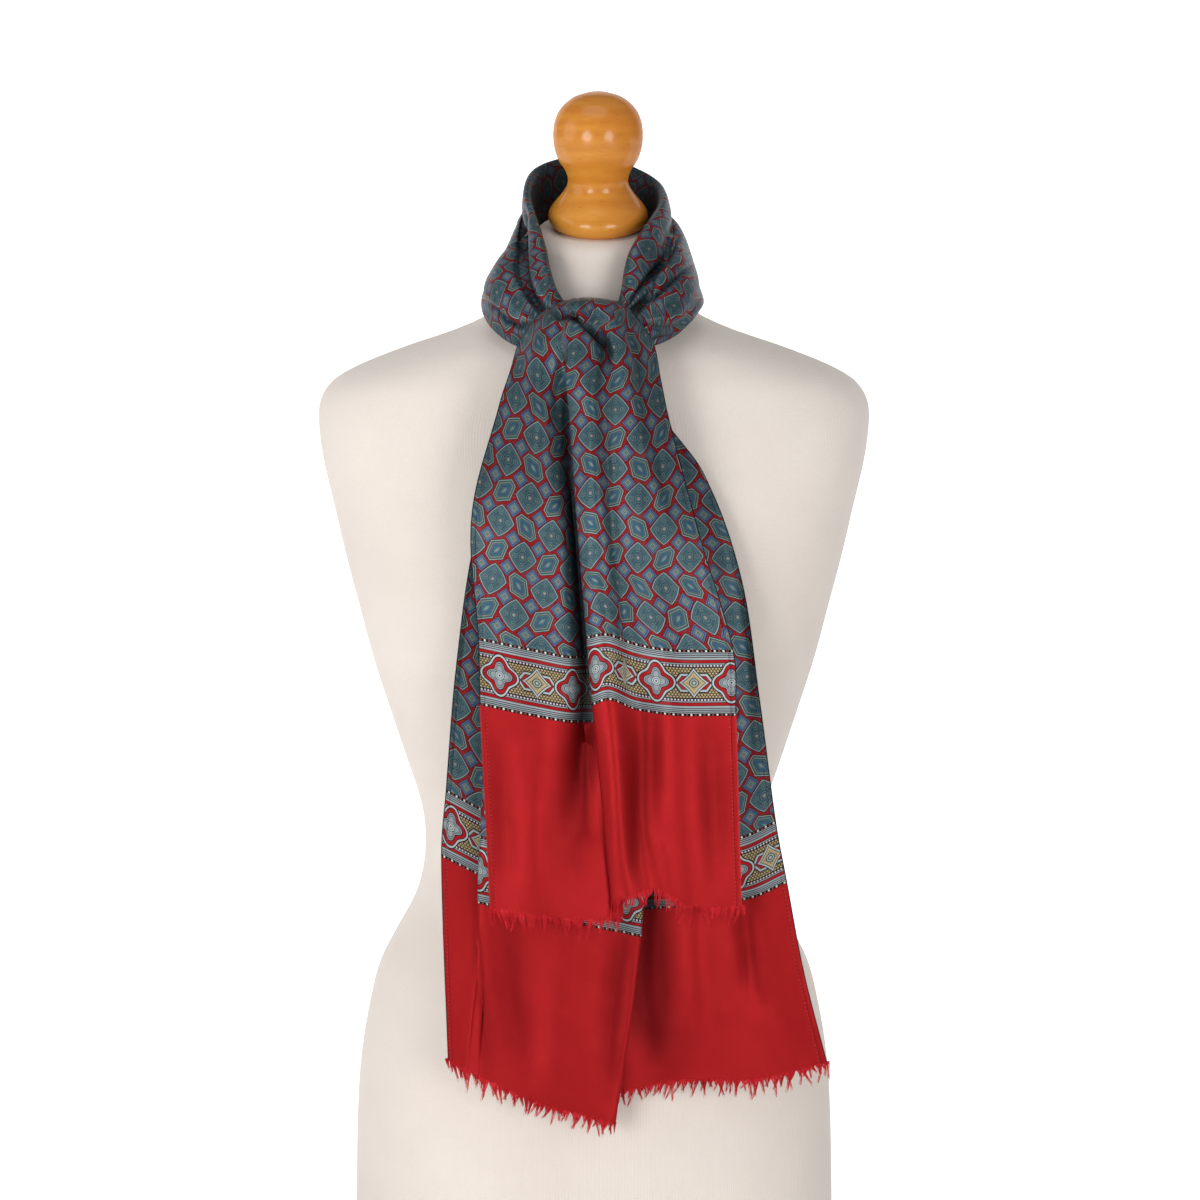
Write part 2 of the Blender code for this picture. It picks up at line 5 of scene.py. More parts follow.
import bpy
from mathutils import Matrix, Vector, noise

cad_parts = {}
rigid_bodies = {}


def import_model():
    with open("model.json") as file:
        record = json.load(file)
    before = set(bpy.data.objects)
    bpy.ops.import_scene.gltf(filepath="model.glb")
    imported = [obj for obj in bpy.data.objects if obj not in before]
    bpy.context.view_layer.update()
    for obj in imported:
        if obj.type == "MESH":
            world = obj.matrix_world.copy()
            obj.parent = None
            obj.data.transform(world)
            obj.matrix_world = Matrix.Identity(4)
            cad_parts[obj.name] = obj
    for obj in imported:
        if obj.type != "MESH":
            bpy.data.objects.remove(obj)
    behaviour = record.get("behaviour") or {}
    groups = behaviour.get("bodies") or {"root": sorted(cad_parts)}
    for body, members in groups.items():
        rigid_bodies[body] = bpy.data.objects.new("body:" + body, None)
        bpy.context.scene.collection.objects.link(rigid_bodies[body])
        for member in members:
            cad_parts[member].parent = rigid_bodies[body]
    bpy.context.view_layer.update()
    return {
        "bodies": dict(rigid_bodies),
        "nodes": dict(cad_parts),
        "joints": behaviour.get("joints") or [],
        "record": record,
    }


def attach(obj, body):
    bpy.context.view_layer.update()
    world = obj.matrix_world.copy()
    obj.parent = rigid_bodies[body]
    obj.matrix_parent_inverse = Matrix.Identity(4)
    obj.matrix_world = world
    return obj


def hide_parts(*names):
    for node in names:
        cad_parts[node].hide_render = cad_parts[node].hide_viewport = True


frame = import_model()

# ================================================================ dress form
# A moulded, limbless form of a small adult, from the neck to just below the hip. A tube of
# fine ribbed cream jersey is drawn tight over it and closed by one seam down the back.
MM = 0.001
NECK_TILT = math.radians(13.0)   # the neck's top slopes down towards the front
FORM_TURNS = 120                 # faces round the form
FORM_RISE = 5.0                  # height of a face
FORM_EDGE, EDGE_STEPS = 3.0, 4   # rounding of the bottom edge, and its steps
FREE_ABOVE = 12.0                # so far over the neck's top nothing has to stay clear of it
JERSEY_RIBS, JERSEY_ROW = 560, 1.3      # wales round the tube, and the height of a knitted row
# Across the seam: distance from its middle, and how far the turned-in lips stand out.
SEAM_LIPS = (
    (-6, 0), (-2.4, 0.05), (-1.5, 0.5), (-0.7, 0.55), (0, -0.1), (0.7, 0.55), (1.5, 0.5),
    (2.4, 0.05), (6, 0),
)
# A row for each level: squareness is that of its outline, tilt its share of the neck's tilt.
FORM_LEVELS = (
    # height, half width, front, back, squareness, tilt
    (0, 177, -112, 118, 2.3, 0),
    (60, 176.5, -113, 121, 2.3, 0),
    (117, 175, -111, 121, 2.3, 0),
    (155, 172, -108, 118, 2.3, 0),
    (193, 165.5, -105, 112, 2.28, 0),
    (222, 158, -102, 105, 2.25, 0),
    (249, 144.5, -99, 98, 2.22, 0),
    (270, 133, -97, 92, 2.2, 0),
    (290, 126.5, -95.5, 88, 2.2, 0),
    (315, 123.6, -95, 86, 2.2, 0),
    (343, 126.4, -96.5, 86, 2.2, 0),
    (380, 138, -101.5, 89, 2.2, 0),
    (417, 150, -107, 94, 2.22, 0),
    (454, 161.5, -112, 99, 2.25, 0),
    (491, 171, -115, 103, 2.3, 0),
    (528, 180.5, -114.5, 106, 2.4, 0),
    (565, 189, -109, 107, 2.5, 0),
    (595, 196, -101, 105, 2.6, 0),
    (620, 199.5, -92, 101, 2.6, 0),
    (636, 199, -85.5, 96.5, 2.52, 0),
    (647, 194, -81.5, 92.5, 2.44, 0),
    (655, 185.5, -78.5, 89, 2.38, 0),
    (664, 168, -75, 85, 2.3, 0.05),
    (676, 137, -71, 79, 2.2, 0.1),
    (688, 101, -66.5, 72, 2.1, 0.2),
    (700, 75, -62, 65, 2.05, 0.35),
    (714, 59.5, -57, 58.5, 2, 0.55),
    (728, 51.5, -51, 53, 2, 0.8),
    (742, 48.5, -47, 49.5, 2, 1),
    (753, 46.5, -45, 47.5, 2, 1),
    (759.5, 43.5, -42, 44.5, 2, 1),
    (762, 39, -37.5, 40, 2, 1),
)


class Value:
    """One socket of a node tree; sums written with it add the Math nodes they need."""

    def __init__(self, recipe, socket):
        self.recipe, self.socket = recipe, socket

    def __add__(self, other):
        return self.recipe.maths("ADD", self, other)

    def __sub__(self, other):
        return self.recipe.maths("SUBTRACT", self, other)

    def __rsub__(self, other):
        return self.recipe.maths("SUBTRACT", other, self)

    def __mul__(self, other):
        return self.recipe.maths("MULTIPLY", self, other)

    def __truediv__(self, other):
        return self.recipe.maths("DIVIDE", self, other)

    def __pow__(self, other):
        return self.recipe.maths("POWER", self, other)

    def __mod__(self, other):
        return self.recipe.maths("FLOORED_MODULO", self, other)

    def __abs__(self):
        return self.recipe.maths("ABSOLUTE", self)

    __radd__, __rmul__ = __add__, __mul__

    def whole(self):
        return self.recipe.maths("ROUND", self)

    def scaled(self, factor, shift):
        """The value times a factor, shifted, and kept from 0 to 1."""
        return self.recipe.maths("MULTIPLY_ADD", self, factor, shift, clamp=True)

    def below(self, edge, blur=0.16):
        """1 where the value is under the edge and 0 over it, blurred a little between."""
        return self.scaled(-1 / blur, edge / blur + 0.5)


class Recipe:
    """A node tree under construction."""

    def __init__(self, tree):
        self.tree = tree

    def node(self, kind, settings=None, inputs=None, output=0):
        """Add a node: its settings first, then the values or links of its sockets."""
        node = self.tree.nodes.new(kind)
        for name, value in (settings or {}).items():
            if name == "stops":
                while len(node.color_ramp.elements) < len(value):
                    node.color_ramp.elements.new(0.5)
                for stop, (place, colour) in zip(node.color_ramp.elements, value):
                    stop.position, stop.color = place, colour
            else:
                setattr(node, name, value)
        for name, value in (inputs or {}).items():
            if isinstance(value, Value):
                self.tree.links.new(value.socket, node.inputs[name])
            else:
                node.inputs[name].default_value = value
        return Value(self, node.outputs[output])

    def maths(self, operation, *terms, clamp=False):
        return self.node("ShaderNodeMath", {"operation": operation, "use_clamp": clamp},
                         dict(enumerate(terms)))

    def mix(self, share, under, over, blend="MIX"):
        return self.node("ShaderNodeMix", {"data_type": "RGBA", "blend_type": blend},
                         {0: share, 6: under, 7: over}, output=2)

    def noise(self, place, scale, detail=2.0):
        return self.node("ShaderNodeTexNoise", {},
                         {"Vector": place, "Scale": scale, "Detail": detail})

    def place(self):
        """Where a point of the piece is, in metres."""
        return self.node("ShaderNodeTexCoord", output=3)

    def part(self, vector, axis):
        """The first, second or third number of a vector, for axis 0, 1 or 2."""
        return self.node("ShaderNodeSeparateXYZ", {}, {0: vector}, axis)

    def shades(self, share, *stops):
        """A colour that passes the stops as the share goes from 0 to 1."""
        return self.node("ShaderNodeValToRGB", {"stops": stops}, {0: share})

    def mark(self, name):
        """A number that each point of the piece carries."""
        return self.node("ShaderNodeAttribute", {"attribute_name": name}, output=2)

    def bump(self, strength, distance, height):
        return self.node("ShaderNodeBump", {}, {"Strength": strength, "Distance": distance,
                                                "Height": height})


def tint(red, green, blue):
    """A colour as a dyer would match it on a screen, made linear."""
    channels = [value / 255 for value in (red, green, blue)]
    return (*[((c + 0.055) / 1.055) ** 2.4 if c > 0.04 else c / 12.92 for c in channels], 1.0)


def start_finish(name, roughness, **constants):
    """A new material, its recipe and its shader, with the settings that never vary."""
    material = bpy.data.materials.new(name)
    material.use_nodes = True
    shader = material.node_tree.nodes["Principled BSDF"]
    shader.inputs["Roughness"].default_value = roughness
    for socket, value in constants.items():
        shader.inputs[socket.replace("_", " ")].default_value = value
    return material, Recipe(material.node_tree), shader


def join(recipe, shader, **sources):
    for socket, value in sources.items():
        recipe.tree.links.new(value.socket, shader.inputs[socket.replace("_", " ")])


def cream_jersey():
    material, recipe, shader = start_finish("cream_jersey", 0.88, Sheen_Weight=0.25,
                                            Sheen_Roughness=0.5, Specular_IOR_Level=0.25)
    place = recipe.place()
    wale = recipe.node("ShaderNodeUVMap", {"uv_map": "jersey"})
    rib = recipe.maths("SINE", recipe.part(wale, 0) * math.tau)
    stitch = recipe.maths("SINE", recipe.part(wale, 1) * (math.tau / JERSEY_ROW) + rib * 1.2)
    blotch = recipe.noise(place, 9.0, 3.0)
    lint = recipe.noise(place, 420.0)
    colour = recipe.shades(blotch, (0.3, tint(232, 221, 212)), (0.7, tint(240, 230, 221)))
    colour = recipe.mix(rib * 0.02 + lint * 0.10, colour, tint(176, 160, 146))
    bump = recipe.bump(0.35, 0.00025, rib * 0.6 + stitch * 0.25 + lint * 0.8)
    join(recipe, shader, Base_Color=colour, Normal=bump)
    return material


def eased(start, leave, end, arrive, span, share):
    """What a smooth curve holds at a share of a span, from its ends and its slopes there."""
    cube, square = share ** 3, share ** 2
    return (start * (2 * cube - 3 * square + 1) + leave * span * (cube - 2 * square + share)
            + end * (3 * square - 2 * cube) + arrive * span * (cube - square))


def column_at(rows, key):
    """The row of a table, worked out smoothly, where its first column equals key."""
    last = len(rows) - 1
    index = 0
    while index < last - 1 and rows[index + 1][0] < key:
        index += 1
    low, high = rows[index], rows[index + 1]
    span = high[0] - low[0]
    share = (key - low[0]) / span
    before = rows[index - 1] if index > 0 else None
    after = rows[index + 2] if index < last - 1 else None
    values = []
    for column in range(1, len(low)):
        slope = (high[column] - low[column]) / span
        slope_low = slope_high = slope
        if before:
            slope_low = (high[column] - before[column]) / (high[0] - before[0])
        if after:
            slope_high = (after[column] - low[column]) / (after[0] - low[0])
        values.append(eased(low[column], slope_low, high[column], slope_high, span, share))
    return values


def form_level(height):
    height = min(max(height, FORM_LEVELS[0][0]), FORM_LEVELS[-1][0])
    return column_at(FORM_LEVELS, height)


def form_field(point):
    """Below 0 inside the form, above 0 outside it."""
    height = point.z
    for _ in range(3):
        tilt = form_level(height)[4]
        height = point.z - point.y * math.tan(NECK_TILT * tilt)
    half, front, back, square, _tilt = form_level(height)
    middle, depth = (front + back) / 2, (back - front) / 2
    return ((abs(point.x) / half) ** square
            + (abs(point.y - middle) / depth) ** square) ** (1 / square) - 1


def clear_of_form(point, margin):
    """Move a point straight out of the form until it is the margin away from its skin."""
    step = 0.5
    for _ in range(5):
        if point.z > FORM_LEVELS[-1][0] + FREE_ABOVE:
            return point
        here = form_field(point)
        slope = Vector([(form_field(point + axis * step) - here) / step
                        for axis in (Vector((1, 0, 0)), Vector((0, 1, 0)), Vector((0, 0, 1)))])
        if slope.length < 1e-6:
            return point
        away = here / slope.length
        if away >= margin:
            return point
        point = point + slope.normalized() * (margin - away)
    return point


def outline_point(level, turn):
    z, half, front, back, square, tilt = level
    flat = 2 / square
    x = half * math.copysign(abs(math.cos(turn)) ** flat, math.cos(turn))
    y = (front + back) / 2 + (back - front) / 2 * math.copysign(
        abs(math.sin(turn)) ** flat, math.sin(turn))
    return Vector((x, y, z + y * math.tan(NECK_TILT * tilt)))


def form_rows():
    """Rows of points round the form from its underside up, and the rib count at each."""
    top = FORM_LEVELS[-1][0]
    count = round((top - FORM_EDGE) / FORM_RISE)
    heights = [FORM_EDGE + (top - FORM_EDGE) * i / count for i in range(count + 1)]
    levels = []
    for step in range(EDGE_STEPS):
        lean = math.pi / 2 * step / EDGE_STEPS
        height, shrink = FORM_EDGE * (1 - math.cos(lean)), FORM_EDGE * (1 - math.sin(lean))
        half, front, back, square, tilt = form_level(0.0)
        levels.append((height, half - shrink, front + shrink, back - shrink, square, tilt))
    levels += [(height, *form_level(height)) for height in heights]
    back_turn = math.pi / 2
    plain = [back_turn + math.tau * side / FORM_TURNS for side in range(2, FORM_TURNS - 1)]
    rows, ribs = [], []
    for level in levels:
        row, turns = [], []
        for place, lip in SEAM_LIPS:
            turns.append(back_turn - place / level[1])
            row.append(outline_point(level, turns[-1]) + Vector((0, lip, 0)))
        for turn in sorted(plain, reverse=True):
            turns.append(turn - math.tau)
            row.append(outline_point(level, turn))
        turns.append(turns[0] - math.tau)
        rows.append(row)
        ribs.append([turn / math.tau * JERSEY_RIBS for turn in turns])
    return rows, ribs


def stand(name, data):
    """A new object of the scene, at the origin."""
    thing = bpy.data.objects.new(name, data)
    bpy.context.scene.collection.objects.link(thing)
    return thing


def finish_mesh(name, verts, faces, material, maps=None, marks=None, sharp=40):
    """An object at the origin from millimetre points, with its UV maps and point marks."""
    mesh = bpy.data.meshes.new(name)
    mesh.from_pydata([tuple(v * MM for v in vert) for vert in verts], [], faces)
    mesh.update()
    for map_name, corners in (maps or {}).items():
        layer = mesh.uv_layers.new(name=map_name)
        for loop, place in zip(layer.data, corners):
            loop.uv = place
    for mark, values in (marks or {}).items():
        mesh.attributes.new(mark, "FLOAT", "POINT").data.foreach_set("value", values)
    mesh.shade_smooth()
    mesh.set_sharp_from_angle(angle=math.radians(sharp))
    mesh.materials.append(material)
    return stand(name, mesh)


def closed_tube(rows, along=None):
    """Faces and corner places of a tube of rows, closed at both ends, outside outwards."""
    wide = len(rows[0])
    verts = [point for row in rows for point in row]
    faces, corners = [], []
    for i in range(len(rows) - 1):
        for j in range(wide):
            k = (j + 1) % wide
            faces.append((i * wide + j, (i + 1) * wide + j, (i + 1) * wide + k, i * wide + k))
            if along:
                corners += [(along[i][j], rows[i][j].z), (along[i + 1][j], rows[i + 1][j].z),
                            (along[i + 1][j + 1], rows[i + 1][k].z),
                            (along[i][j + 1], rows[i][k].z)]
    for ring, turned in ((0, False), (len(rows) - 1, True)):
        hub = len(verts)
        verts.append(sum(rows[ring], Vector()) / wide)
        for j in range(wide):
            k = (j + 1) % wide
            pair = (ring * wide + j, ring * wide + k)
            faces.append((hub, *pair[::-1]) if turned else (hub, *pair))
            corners += [(0.0, 0.0)] * 3 if along else []
    return verts, faces, corners


rows, ribs = form_rows()
verts, faces, corners = closed_tube(rows, ribs)
form_skin = finish_mesh("form_jersey", verts, faces, cream_jersey(), {"jersey": corners})
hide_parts("form_body")
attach(form_skin, "root")

# ================================================================ neck knob
# Turned from one piece of close-grained hardwood, a ball over a waist and a wide foot, stained
# golden orange and varnished to a high gloss. It is screwed down on the form's neck.
KNOB_TURNS, KNOB_STEPS = 96, 8           # faces round the knob, and from row to row of the table
KNOB_FOOT = Vector((3.0, -1.0, 762.2))   # middle of the foot's underside
KNOB_OUTLINE = (
    # radius, height
    (28.5, 0), (32.6, 2.4), (35, 5.8), (35.9, 9.6), (35, 13.6), (32.2, 18), (26.6, 25), (22.4, 32),
    (21.8, 38), (24, 44.5), (28.4, 51.5), (31.2, 59.5), (32.2, 68), (31.4, 77.8), (27.6, 87.2),
    (19.6, 95), (10.2, 99),
)
KNOB_CROWN = 100.0                       # height of the top's middle


def varnished_wood():
    material, recipe, shader = start_finish("varnished_wood", 0.4, Coat_Weight=0.36,
                                            Coat_Roughness=0.17, Coat_IOR=1.85,
                                            Specular_IOR_Level=0.0)
    place = recipe.place()
    drawn = recipe.node("ShaderNodeMapping", {}, {"Vector": place, "Rotation": (0.1, 0.14, 0),
                                                  "Scale": (0.22, 0.22, 1.0)})
    cloud = recipe.noise(drawn, 26.0, 3.0)
    figure = recipe.noise(drawn, 150.0, 4.0)
    fleck = recipe.noise(drawn, 900.0)
    rings = recipe.node("ShaderNodeTexWave", {"wave_type": "RINGS", "rings_direction": "Y"},
                        {"Vector": drawn, "Scale": 32.0, "Distortion": 5.0, "Detail": 3.0,
                         "Detail Scale": 1.4})
    colour = recipe.shades(rings * 0.12 + cloud * 0.55 + figure * 0.35,
                           (0.30, tint(200, 122, 42)), (0.52, tint(214, 142, 54)),
                           (0.78, tint(226, 158, 70)))
    colour = recipe.mix(fleck.scaled(4.0, -2.3) * 0.35, colour, tint(140, 70, 24))
    # painted shade: the colour is a little darker and deeper orange towards the knob's right side
    # (+x)
    colour = recipe.mix(recipe.part(place, 0).scaled(22.0, 0.0) * 0.5, colour, tint(196, 100, 28))
    bump = recipe.bump(0.08, 0.0002, figure)
    join(recipe, shader, Base_Color=colour, Normal=bump)
    return material


def knob_rows():
    profile = [Vector((radius, height, 0)) for radius, height in KNOB_OUTLINE]
    rows = []
    for point in spline(profile, [KNOB_STEPS] * (len(profile) - 1)):
        ring = []
        for side in range(KNOB_TURNS):
            turn = -math.tau * side / KNOB_TURNS
            y, z = point.x * math.sin(turn), point.y
            ring.append(KNOB_FOOT + Vector((
                point.x * math.cos(turn), y * math.cos(NECK_TILT) - z * math.sin(NECK_TILT),
                y * math.sin(NECK_TILT) + z * math.cos(NECK_TILT))))
        rows.append(ring)
    return rows


def spline_slopes(points):
    """Chord times and slopes of the smooth curve that passes every point."""
    times = [0.0]
    for start, end in zip(points, points[1:]):
        times.append(times[-1] + max(math.sqrt((end - start).length), 1e-4))
    rates = [(end - start) / (after - before) for start, end, before, after
             in zip(points, points[1:], times, times[1:])]
    slopes = [rates[0]]
    for index in range(1, len(points) - 1):
        before = times[index] - times[index - 1]
        after = times[index + 1] - times[index]
        slopes.append((rates[index - 1] * after + rates[index] * before) / (before + after))
    slopes.append(rates[-1])
    return times, slopes


def spline(points, counts):
    """Points along the smooth curve, with the given count of steps in each span."""
    times, slopes = spline_slopes(points)
    curve = []
    for index, count in enumerate(counts):
        span = times[index + 1] - times[index]
        curve += [eased(points[index], slopes[index], points[index + 1], slopes[index + 1],
                        span, step / count) for step in range(count)]
    curve.append(points[-1].copy())
    return curve


rows = knob_rows()
verts, faces, corners = closed_tube(rows)
crown = Vector((0, -math.sin(NECK_TILT), math.cos(NECK_TILT))) * KNOB_CROWN
verts[-1] = KNOB_FOOT + crown
knob = finish_mesh("turned_knob", verts, faces, varnished_wood())
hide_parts("neck_knob")
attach(knob, "root")

# ================================================================ scarf: front end and knot
# One long strip of printed silk twill. Its front end comes up behind the crossing, goes over
# its top and hangs down the front in two panels, the left one tucked under the right one.
SILK, HEM = 0.45, 1.0        # thickness of the cloth as it is shown, and of its rolled hems
TURN = 1.6                   # radius of a pressed fold
CLOTH_WIDTH, CROSSING_WIDTH = 300.0, 80.0        # cut width, and what shows over the crossing
ACROSS, ROUND = 9, 3         # steps from one line of the cloth to the next, and in a fold
HEM_SHARES = (0.18, 0.74, 0.86)          # of the outermost step, where the hem has its points
HEM_POINTS = len(HEM_SHARES)


def at_runs(runs, lines):
    """Lines along the cloth whose rows give the run along it and the place (x, y, z) there."""
    return {name: [(run, *place) for run, place in zip(runs, places)]
            for name, places in lines.items()}


# Lines along the cloth, from the fringed end up to the knot (run 397), over the top of the
# crossing and down behind it.
FRONT_RUNS = (0, 140, 187, 272, 350, 375, 397, 415, 431, 445, 469)
FRONT_LINES = at_runs(FRONT_RUNS, {
    "left_edge": (
        (-73, -150, 294), (-79.5, -152, 440), (-80.5, -152, 485.5), (-85, -146, 570),
        (-66, -122, 645.5), (-58.5, -109, 668), (-51.8, -100.5, 689.5), (-41.5, -97.5, 703),
        (-31, -95, 712), (-22, -85, 715.5), (-14, -66, 713.5),
    ),
    "left_swell": (
        (-38, -157, 290), (-42, -156, 432.5), (-44, -156.5, 478.5), (-48, -152, 563),
        (-42, -137, 640), (-40.5, -130, 664.5), (-39, -123.5, 687.5), (-31, -117, 702.5),
        (-25.5, -107, 713), (-18.5, -88, 716.5), (-11.5, -66, 714),
    ),
    "pleat_entry": (
        (11.5, -151, 287.5), (-6, -149, 426), (-10, -149, 471.5), (-16, -146, 557),
        (-22, -129.5, 634), (-28, -126, 660.5), (-31.5, -124.5, 688), (-25, -119, 703),
        (-21, -108, 714), (-16, -89, 717.5), (-9.5, -66, 714.5),
    ),
    "pleat_tuck": (
        (22, -147.5, 303), (39, -146.5, 430), (36, -146, 476), (22, -142.5, 562), (0, -126.5, 640),
        (-15, -124.5, 662.5), (-24.5, -124.5, 688), (-21.5, -119.5, 703.5), (-18.5, -108.5, 715),
        (-13.8, -89, 718), (-7.5, -66, 714.5),
    ),
    "fold_edge": (
        (12.5, -153.5, 299.5), (-1, -153, 440), (-5, -152.5, 486.5), (-12, -149, 571.5),
        (-17.5, -135, 646.5), (-19.5, -132, 668), (-17.5, -128.5, 688.5), (-18, -120.5, 704),
        (-16, -109, 716), (-12, -89.5, 717.5), (-5.5, -66, 714.5),
    ),
    "fold_ridge": (
        (25, -159, 304.5), (10.5, -159, 444.5), (8.5, -158.5, 489.5), (2, -155.5, 573),
        (-4, -141.5, 645), (-6.5, -137, 667.5), (-9, -130.5, 688), (-8.5, -122.5, 704),
        (-11.5, -110, 717), (-8.5, -90, 718.5), (-3.5, -66, 715),
    ),
    "trough": (
        (44, -152.5, 308), (31, -151, 435.5), (29, -151, 481.5), (17.5, -151.5, 566.5),
        (10, -139, 641), (8, -132.5, 664.5), (5.6, -125, 687.5), (2.5, -115.5, 703.5),
        (-5.5, -106.5, 716.5), (-4, -89, 718.5), (-1, -66, 715),
    ),
    "right_ridge": (
        (68, -157, 296.5), (58, -156.5, 433), (54, -156, 478), (41, -153.5, 561),
        (27, -139.5, 639.5), (23.5, -134.5, 663.5), (20.5, -128, 687), (14.5, -121, 703.5),
        (5, -110, 717), (4.5, -89.5, 718), (5, -66, 714.5),
    ),
    "right_edge": (
        (104, -149, 295), (99.5, -150, 432), (97.5, -150, 476.5), (74, -145.5, 556.5),
        (52, -121, 638.5), (46.5, -108, 664), (41.5, -100, 688), (31, -97.5, 703),
        (22.5, -95.5, 713), (17, -86, 715.5), (11, -66, 713.5),
    ),
})
FRONT_FOLDS = ("pleat_tuck", "fold_edge")    # the cloth turns right back at these
FRONT_TOP, KNOT_END = 397.0, 469.0           # the front end passes into the knot, which ends
# Creases pressed into the cloth, as soft troughs (depth above 0) or ridges (below 0), with the
# places that they pass as seen from the front. They press straight into the cloth there.
FRONT_CREASES = (
    # depth, width, places (x, z) from the top down, and the first and last line pressed, if any
    (8, 3.2, ((-29, 711), (-24, 708), (-18, 710), (-8, 706), (-1, 699), (6, 691), (9, 684),
        (7, 673))),
    (2, 5, ((6, 684), (8, 660), (13, 572), (18, 527), (27, 460))),
    (8.5, 6, ((-18, 650), (-16, 603), (-12, 555), (-7, 485), (-4, 428), (-4, 350)), 1, 3.9),
    (-1.6, 4, ((-20, 703), (-6, 697), (2, 686), (3, 668))),
    (1.8, 3, ((-22, 696), (-21, 684), (-25, 660), (-28, 630))),
    (1.6, 3.5, ((17, 710), (24, 698), (30, 682), (38, 650))),
    (-1, 4, ((0, 690), (-2, 650), (4, 560))),
    (5, 10, ((-5, 445), (-9, 408), (-13, 372), (-17, 320)), 1, 3.9),
    (2, 8, ((-34, 400), (-31, 350), (-30, 310))),
    (-1.5, 9, ((-32, 428), (-36, 379), (-40, 329))),
    (2.6, 9, ((-66, 414), (-64, 357), (-61, 307))),
    (4.6, 10, ((38, 442), (35, 385), (31, 318))),
    (-1.5, 7, ((14, 430), (16, 380), (18, 320))),
    (-1.1, 1.8, ((41, 354), (48, 330), (53, 306))),
    (3, 9, ((80, 428), (84, 371), (87, 314))),
    (1.6, 5, ((-38, 690), (-44, 640), (-46, 590))),
    (-1.2, 6, ((-30, 680), (-34, 620), (-36, 560))),
    (1.8, 4, ((28, 690), (36, 640), (50, 590), (60, 560))),
    (-1, 4, ((20, 690), (30, 630), (44, 580))),
)
RIPPLE = ((0.45, 38.0), (0.2, 15.0))     # depth and length of the silk's own unevenness
CREASE_REACH = 3             # widths from its chain of places, beyond which nothing is pressed
STEEP = 0.3                  # creases fade where the cloth faces forwards by less than this
FRONT_STEP, KNOT_STEP = 3.4, 2.4         # between the rows of points
# How the print lies on the two panels: the lines of the cloth where the left one ends and the
# right one begins, the print's places on the border and the field, and how it is gathered over
# the field. A gather has packing, lean in degrees, slope of the weft, and how far the print has
# slid along.
FRONT_TUCKS = (3.0, 4.0)
FRONT_SHIFTS = ((7.5, -2.0), (-13.6, 2.0))
FRONT_GATHERS = ((1.14, 8.0, 0.095, -4.0), (1.14, 1.8, -0.155, 8.0))
FRONT_PLEAT = (33.0, 6.0)    # so far into the right panel a pleat hides that much of the border
GATHER_START, GATHER_SPAN = 192.0, 45.0  # the gathers start at a run, and are full after so far

# The print is charted in millimetres. Its field is a square lattice of medallions and cut lozenges
# by turns, with a small square between every four of them, on brick red.
CELL = 21.0
FIELD_PLACE = 188.0                      # along, where a row of medallions sits
PRINT_DEPTH = (0.64, 0.82)               # light given back by the field and by the border
MEDALLION_REACH = (11.3, 17.0)           # centre to tip, and how far its sides bulge
LOBE_PLACE, LOBE_FLATNESS = 6.2, 0.75
GROUND_RED, END_RED = tint(160, 24, 30), tint(160, 26, 29)
MEDALLION_RINGS = (
    # distance outside the outline, and the colour inside it: red, green, blue
    (0.55, 50, 16, 26), (0, 160, 180, 180), (-0.65, 36, 60, 70), (-1, 84, 114, 122),
    (-1.9, 60, 90, 102), (-2.4, 96, 124, 128), (-2.8, 62, 92, 104), (-4.6, 90, 118, 124),
    (-5.1, 58, 86, 100),
)
MEDALLION_LOBES = ((1.7, 102, 128, 130), (1.1, 58, 86, 98), (0.55, 112, 136, 136))
MEDALLION_EYE = ((3, 100, 126, 128), (2.4, 60, 86, 98), (1.6, 116, 130, 130), (0.8, 176, 160, 150))
LOZENGE_RINGS = (
    (0.5, 50, 16, 26), (0, 158, 180, 176), (-0.6, 42, 68, 76), (-1, 78, 108, 112),
    (-1.8, 152, 158, 132), (-2.25, 58, 90, 104), (-2.9, 86, 118, 130), (-3.3, 62, 96, 122),
    (-4.8, 72, 106, 130),
)
LOZENGE_EYE = ((1, 118, 142, 138), (0.45, 150, 160, 142))
LOZENGE_REACH, LOZENGE_WAIST, LOZENGE_TAPER = 9.7, 7.7, 0.507
LOZENGE_EYE_FLATNESS = 0.36
SQUARE_RINGS = (
    (6.6, 64, 20, 36), (6, 100, 118, 158), (5.1, 56, 82, 130), (4.1, 112, 144, 146),
    (3.3, 70, 98, 128), (2.7, 140, 150, 138), (1.4, 84, 100, 104), (0.6, 150, 150, 132),
)
SQUARE_SHIFT, SQUARE_SWING = (0.3, 0.5), 1.1     # squares sit a little off, by turns
# Its border has mirrored bands about its middle, a filling of small scales between two rows of
# beads, and quatrefoils and hollow-sided diamonds by turns.
BORDER_MIDDLE, BORDER_HALF = 163.5, 24.65
END_PANEL = 138.85                       # the plain end runs from the fringe to here
BORDER_BANDS = (
    (24.65, 20, 12, 16), (22.5, 160, 170, 174), (17.3, 40, 22, 28), (16.9, 162, 26, 30),
    (14.9, 30, 22, 28), (14.4, 152, 160, 164), (13.7, 48, 44, 52), (11.6, 36, 28, 30),
    (11.1, 180, 160, 118),
)
BEADS, BEAD_ROW, BEAD_RADIUS = 3.1, 23.6, 0.76
PEARLS, PEARL_ROW, PEARL_RADIUS = 2.35, 12.65, 0.68
PINLINES, PINLINE_HALF = (21.6, 20.3, 18.9), 0.36
SCALE_ROW, SCALE_RISE, SCALE_STEP, SCALE_RADIUS = 1.75, 1.9, 2.3, 0.8
FRAME_TOP, FRAME_CORNER, FRAME_SLANT = 6.6, 14.0, (0.82, 0.57)     # six-sided, round a diamond
PETAL_PLACE = 4.4                        # no red in the frame nearer the diamond's middle
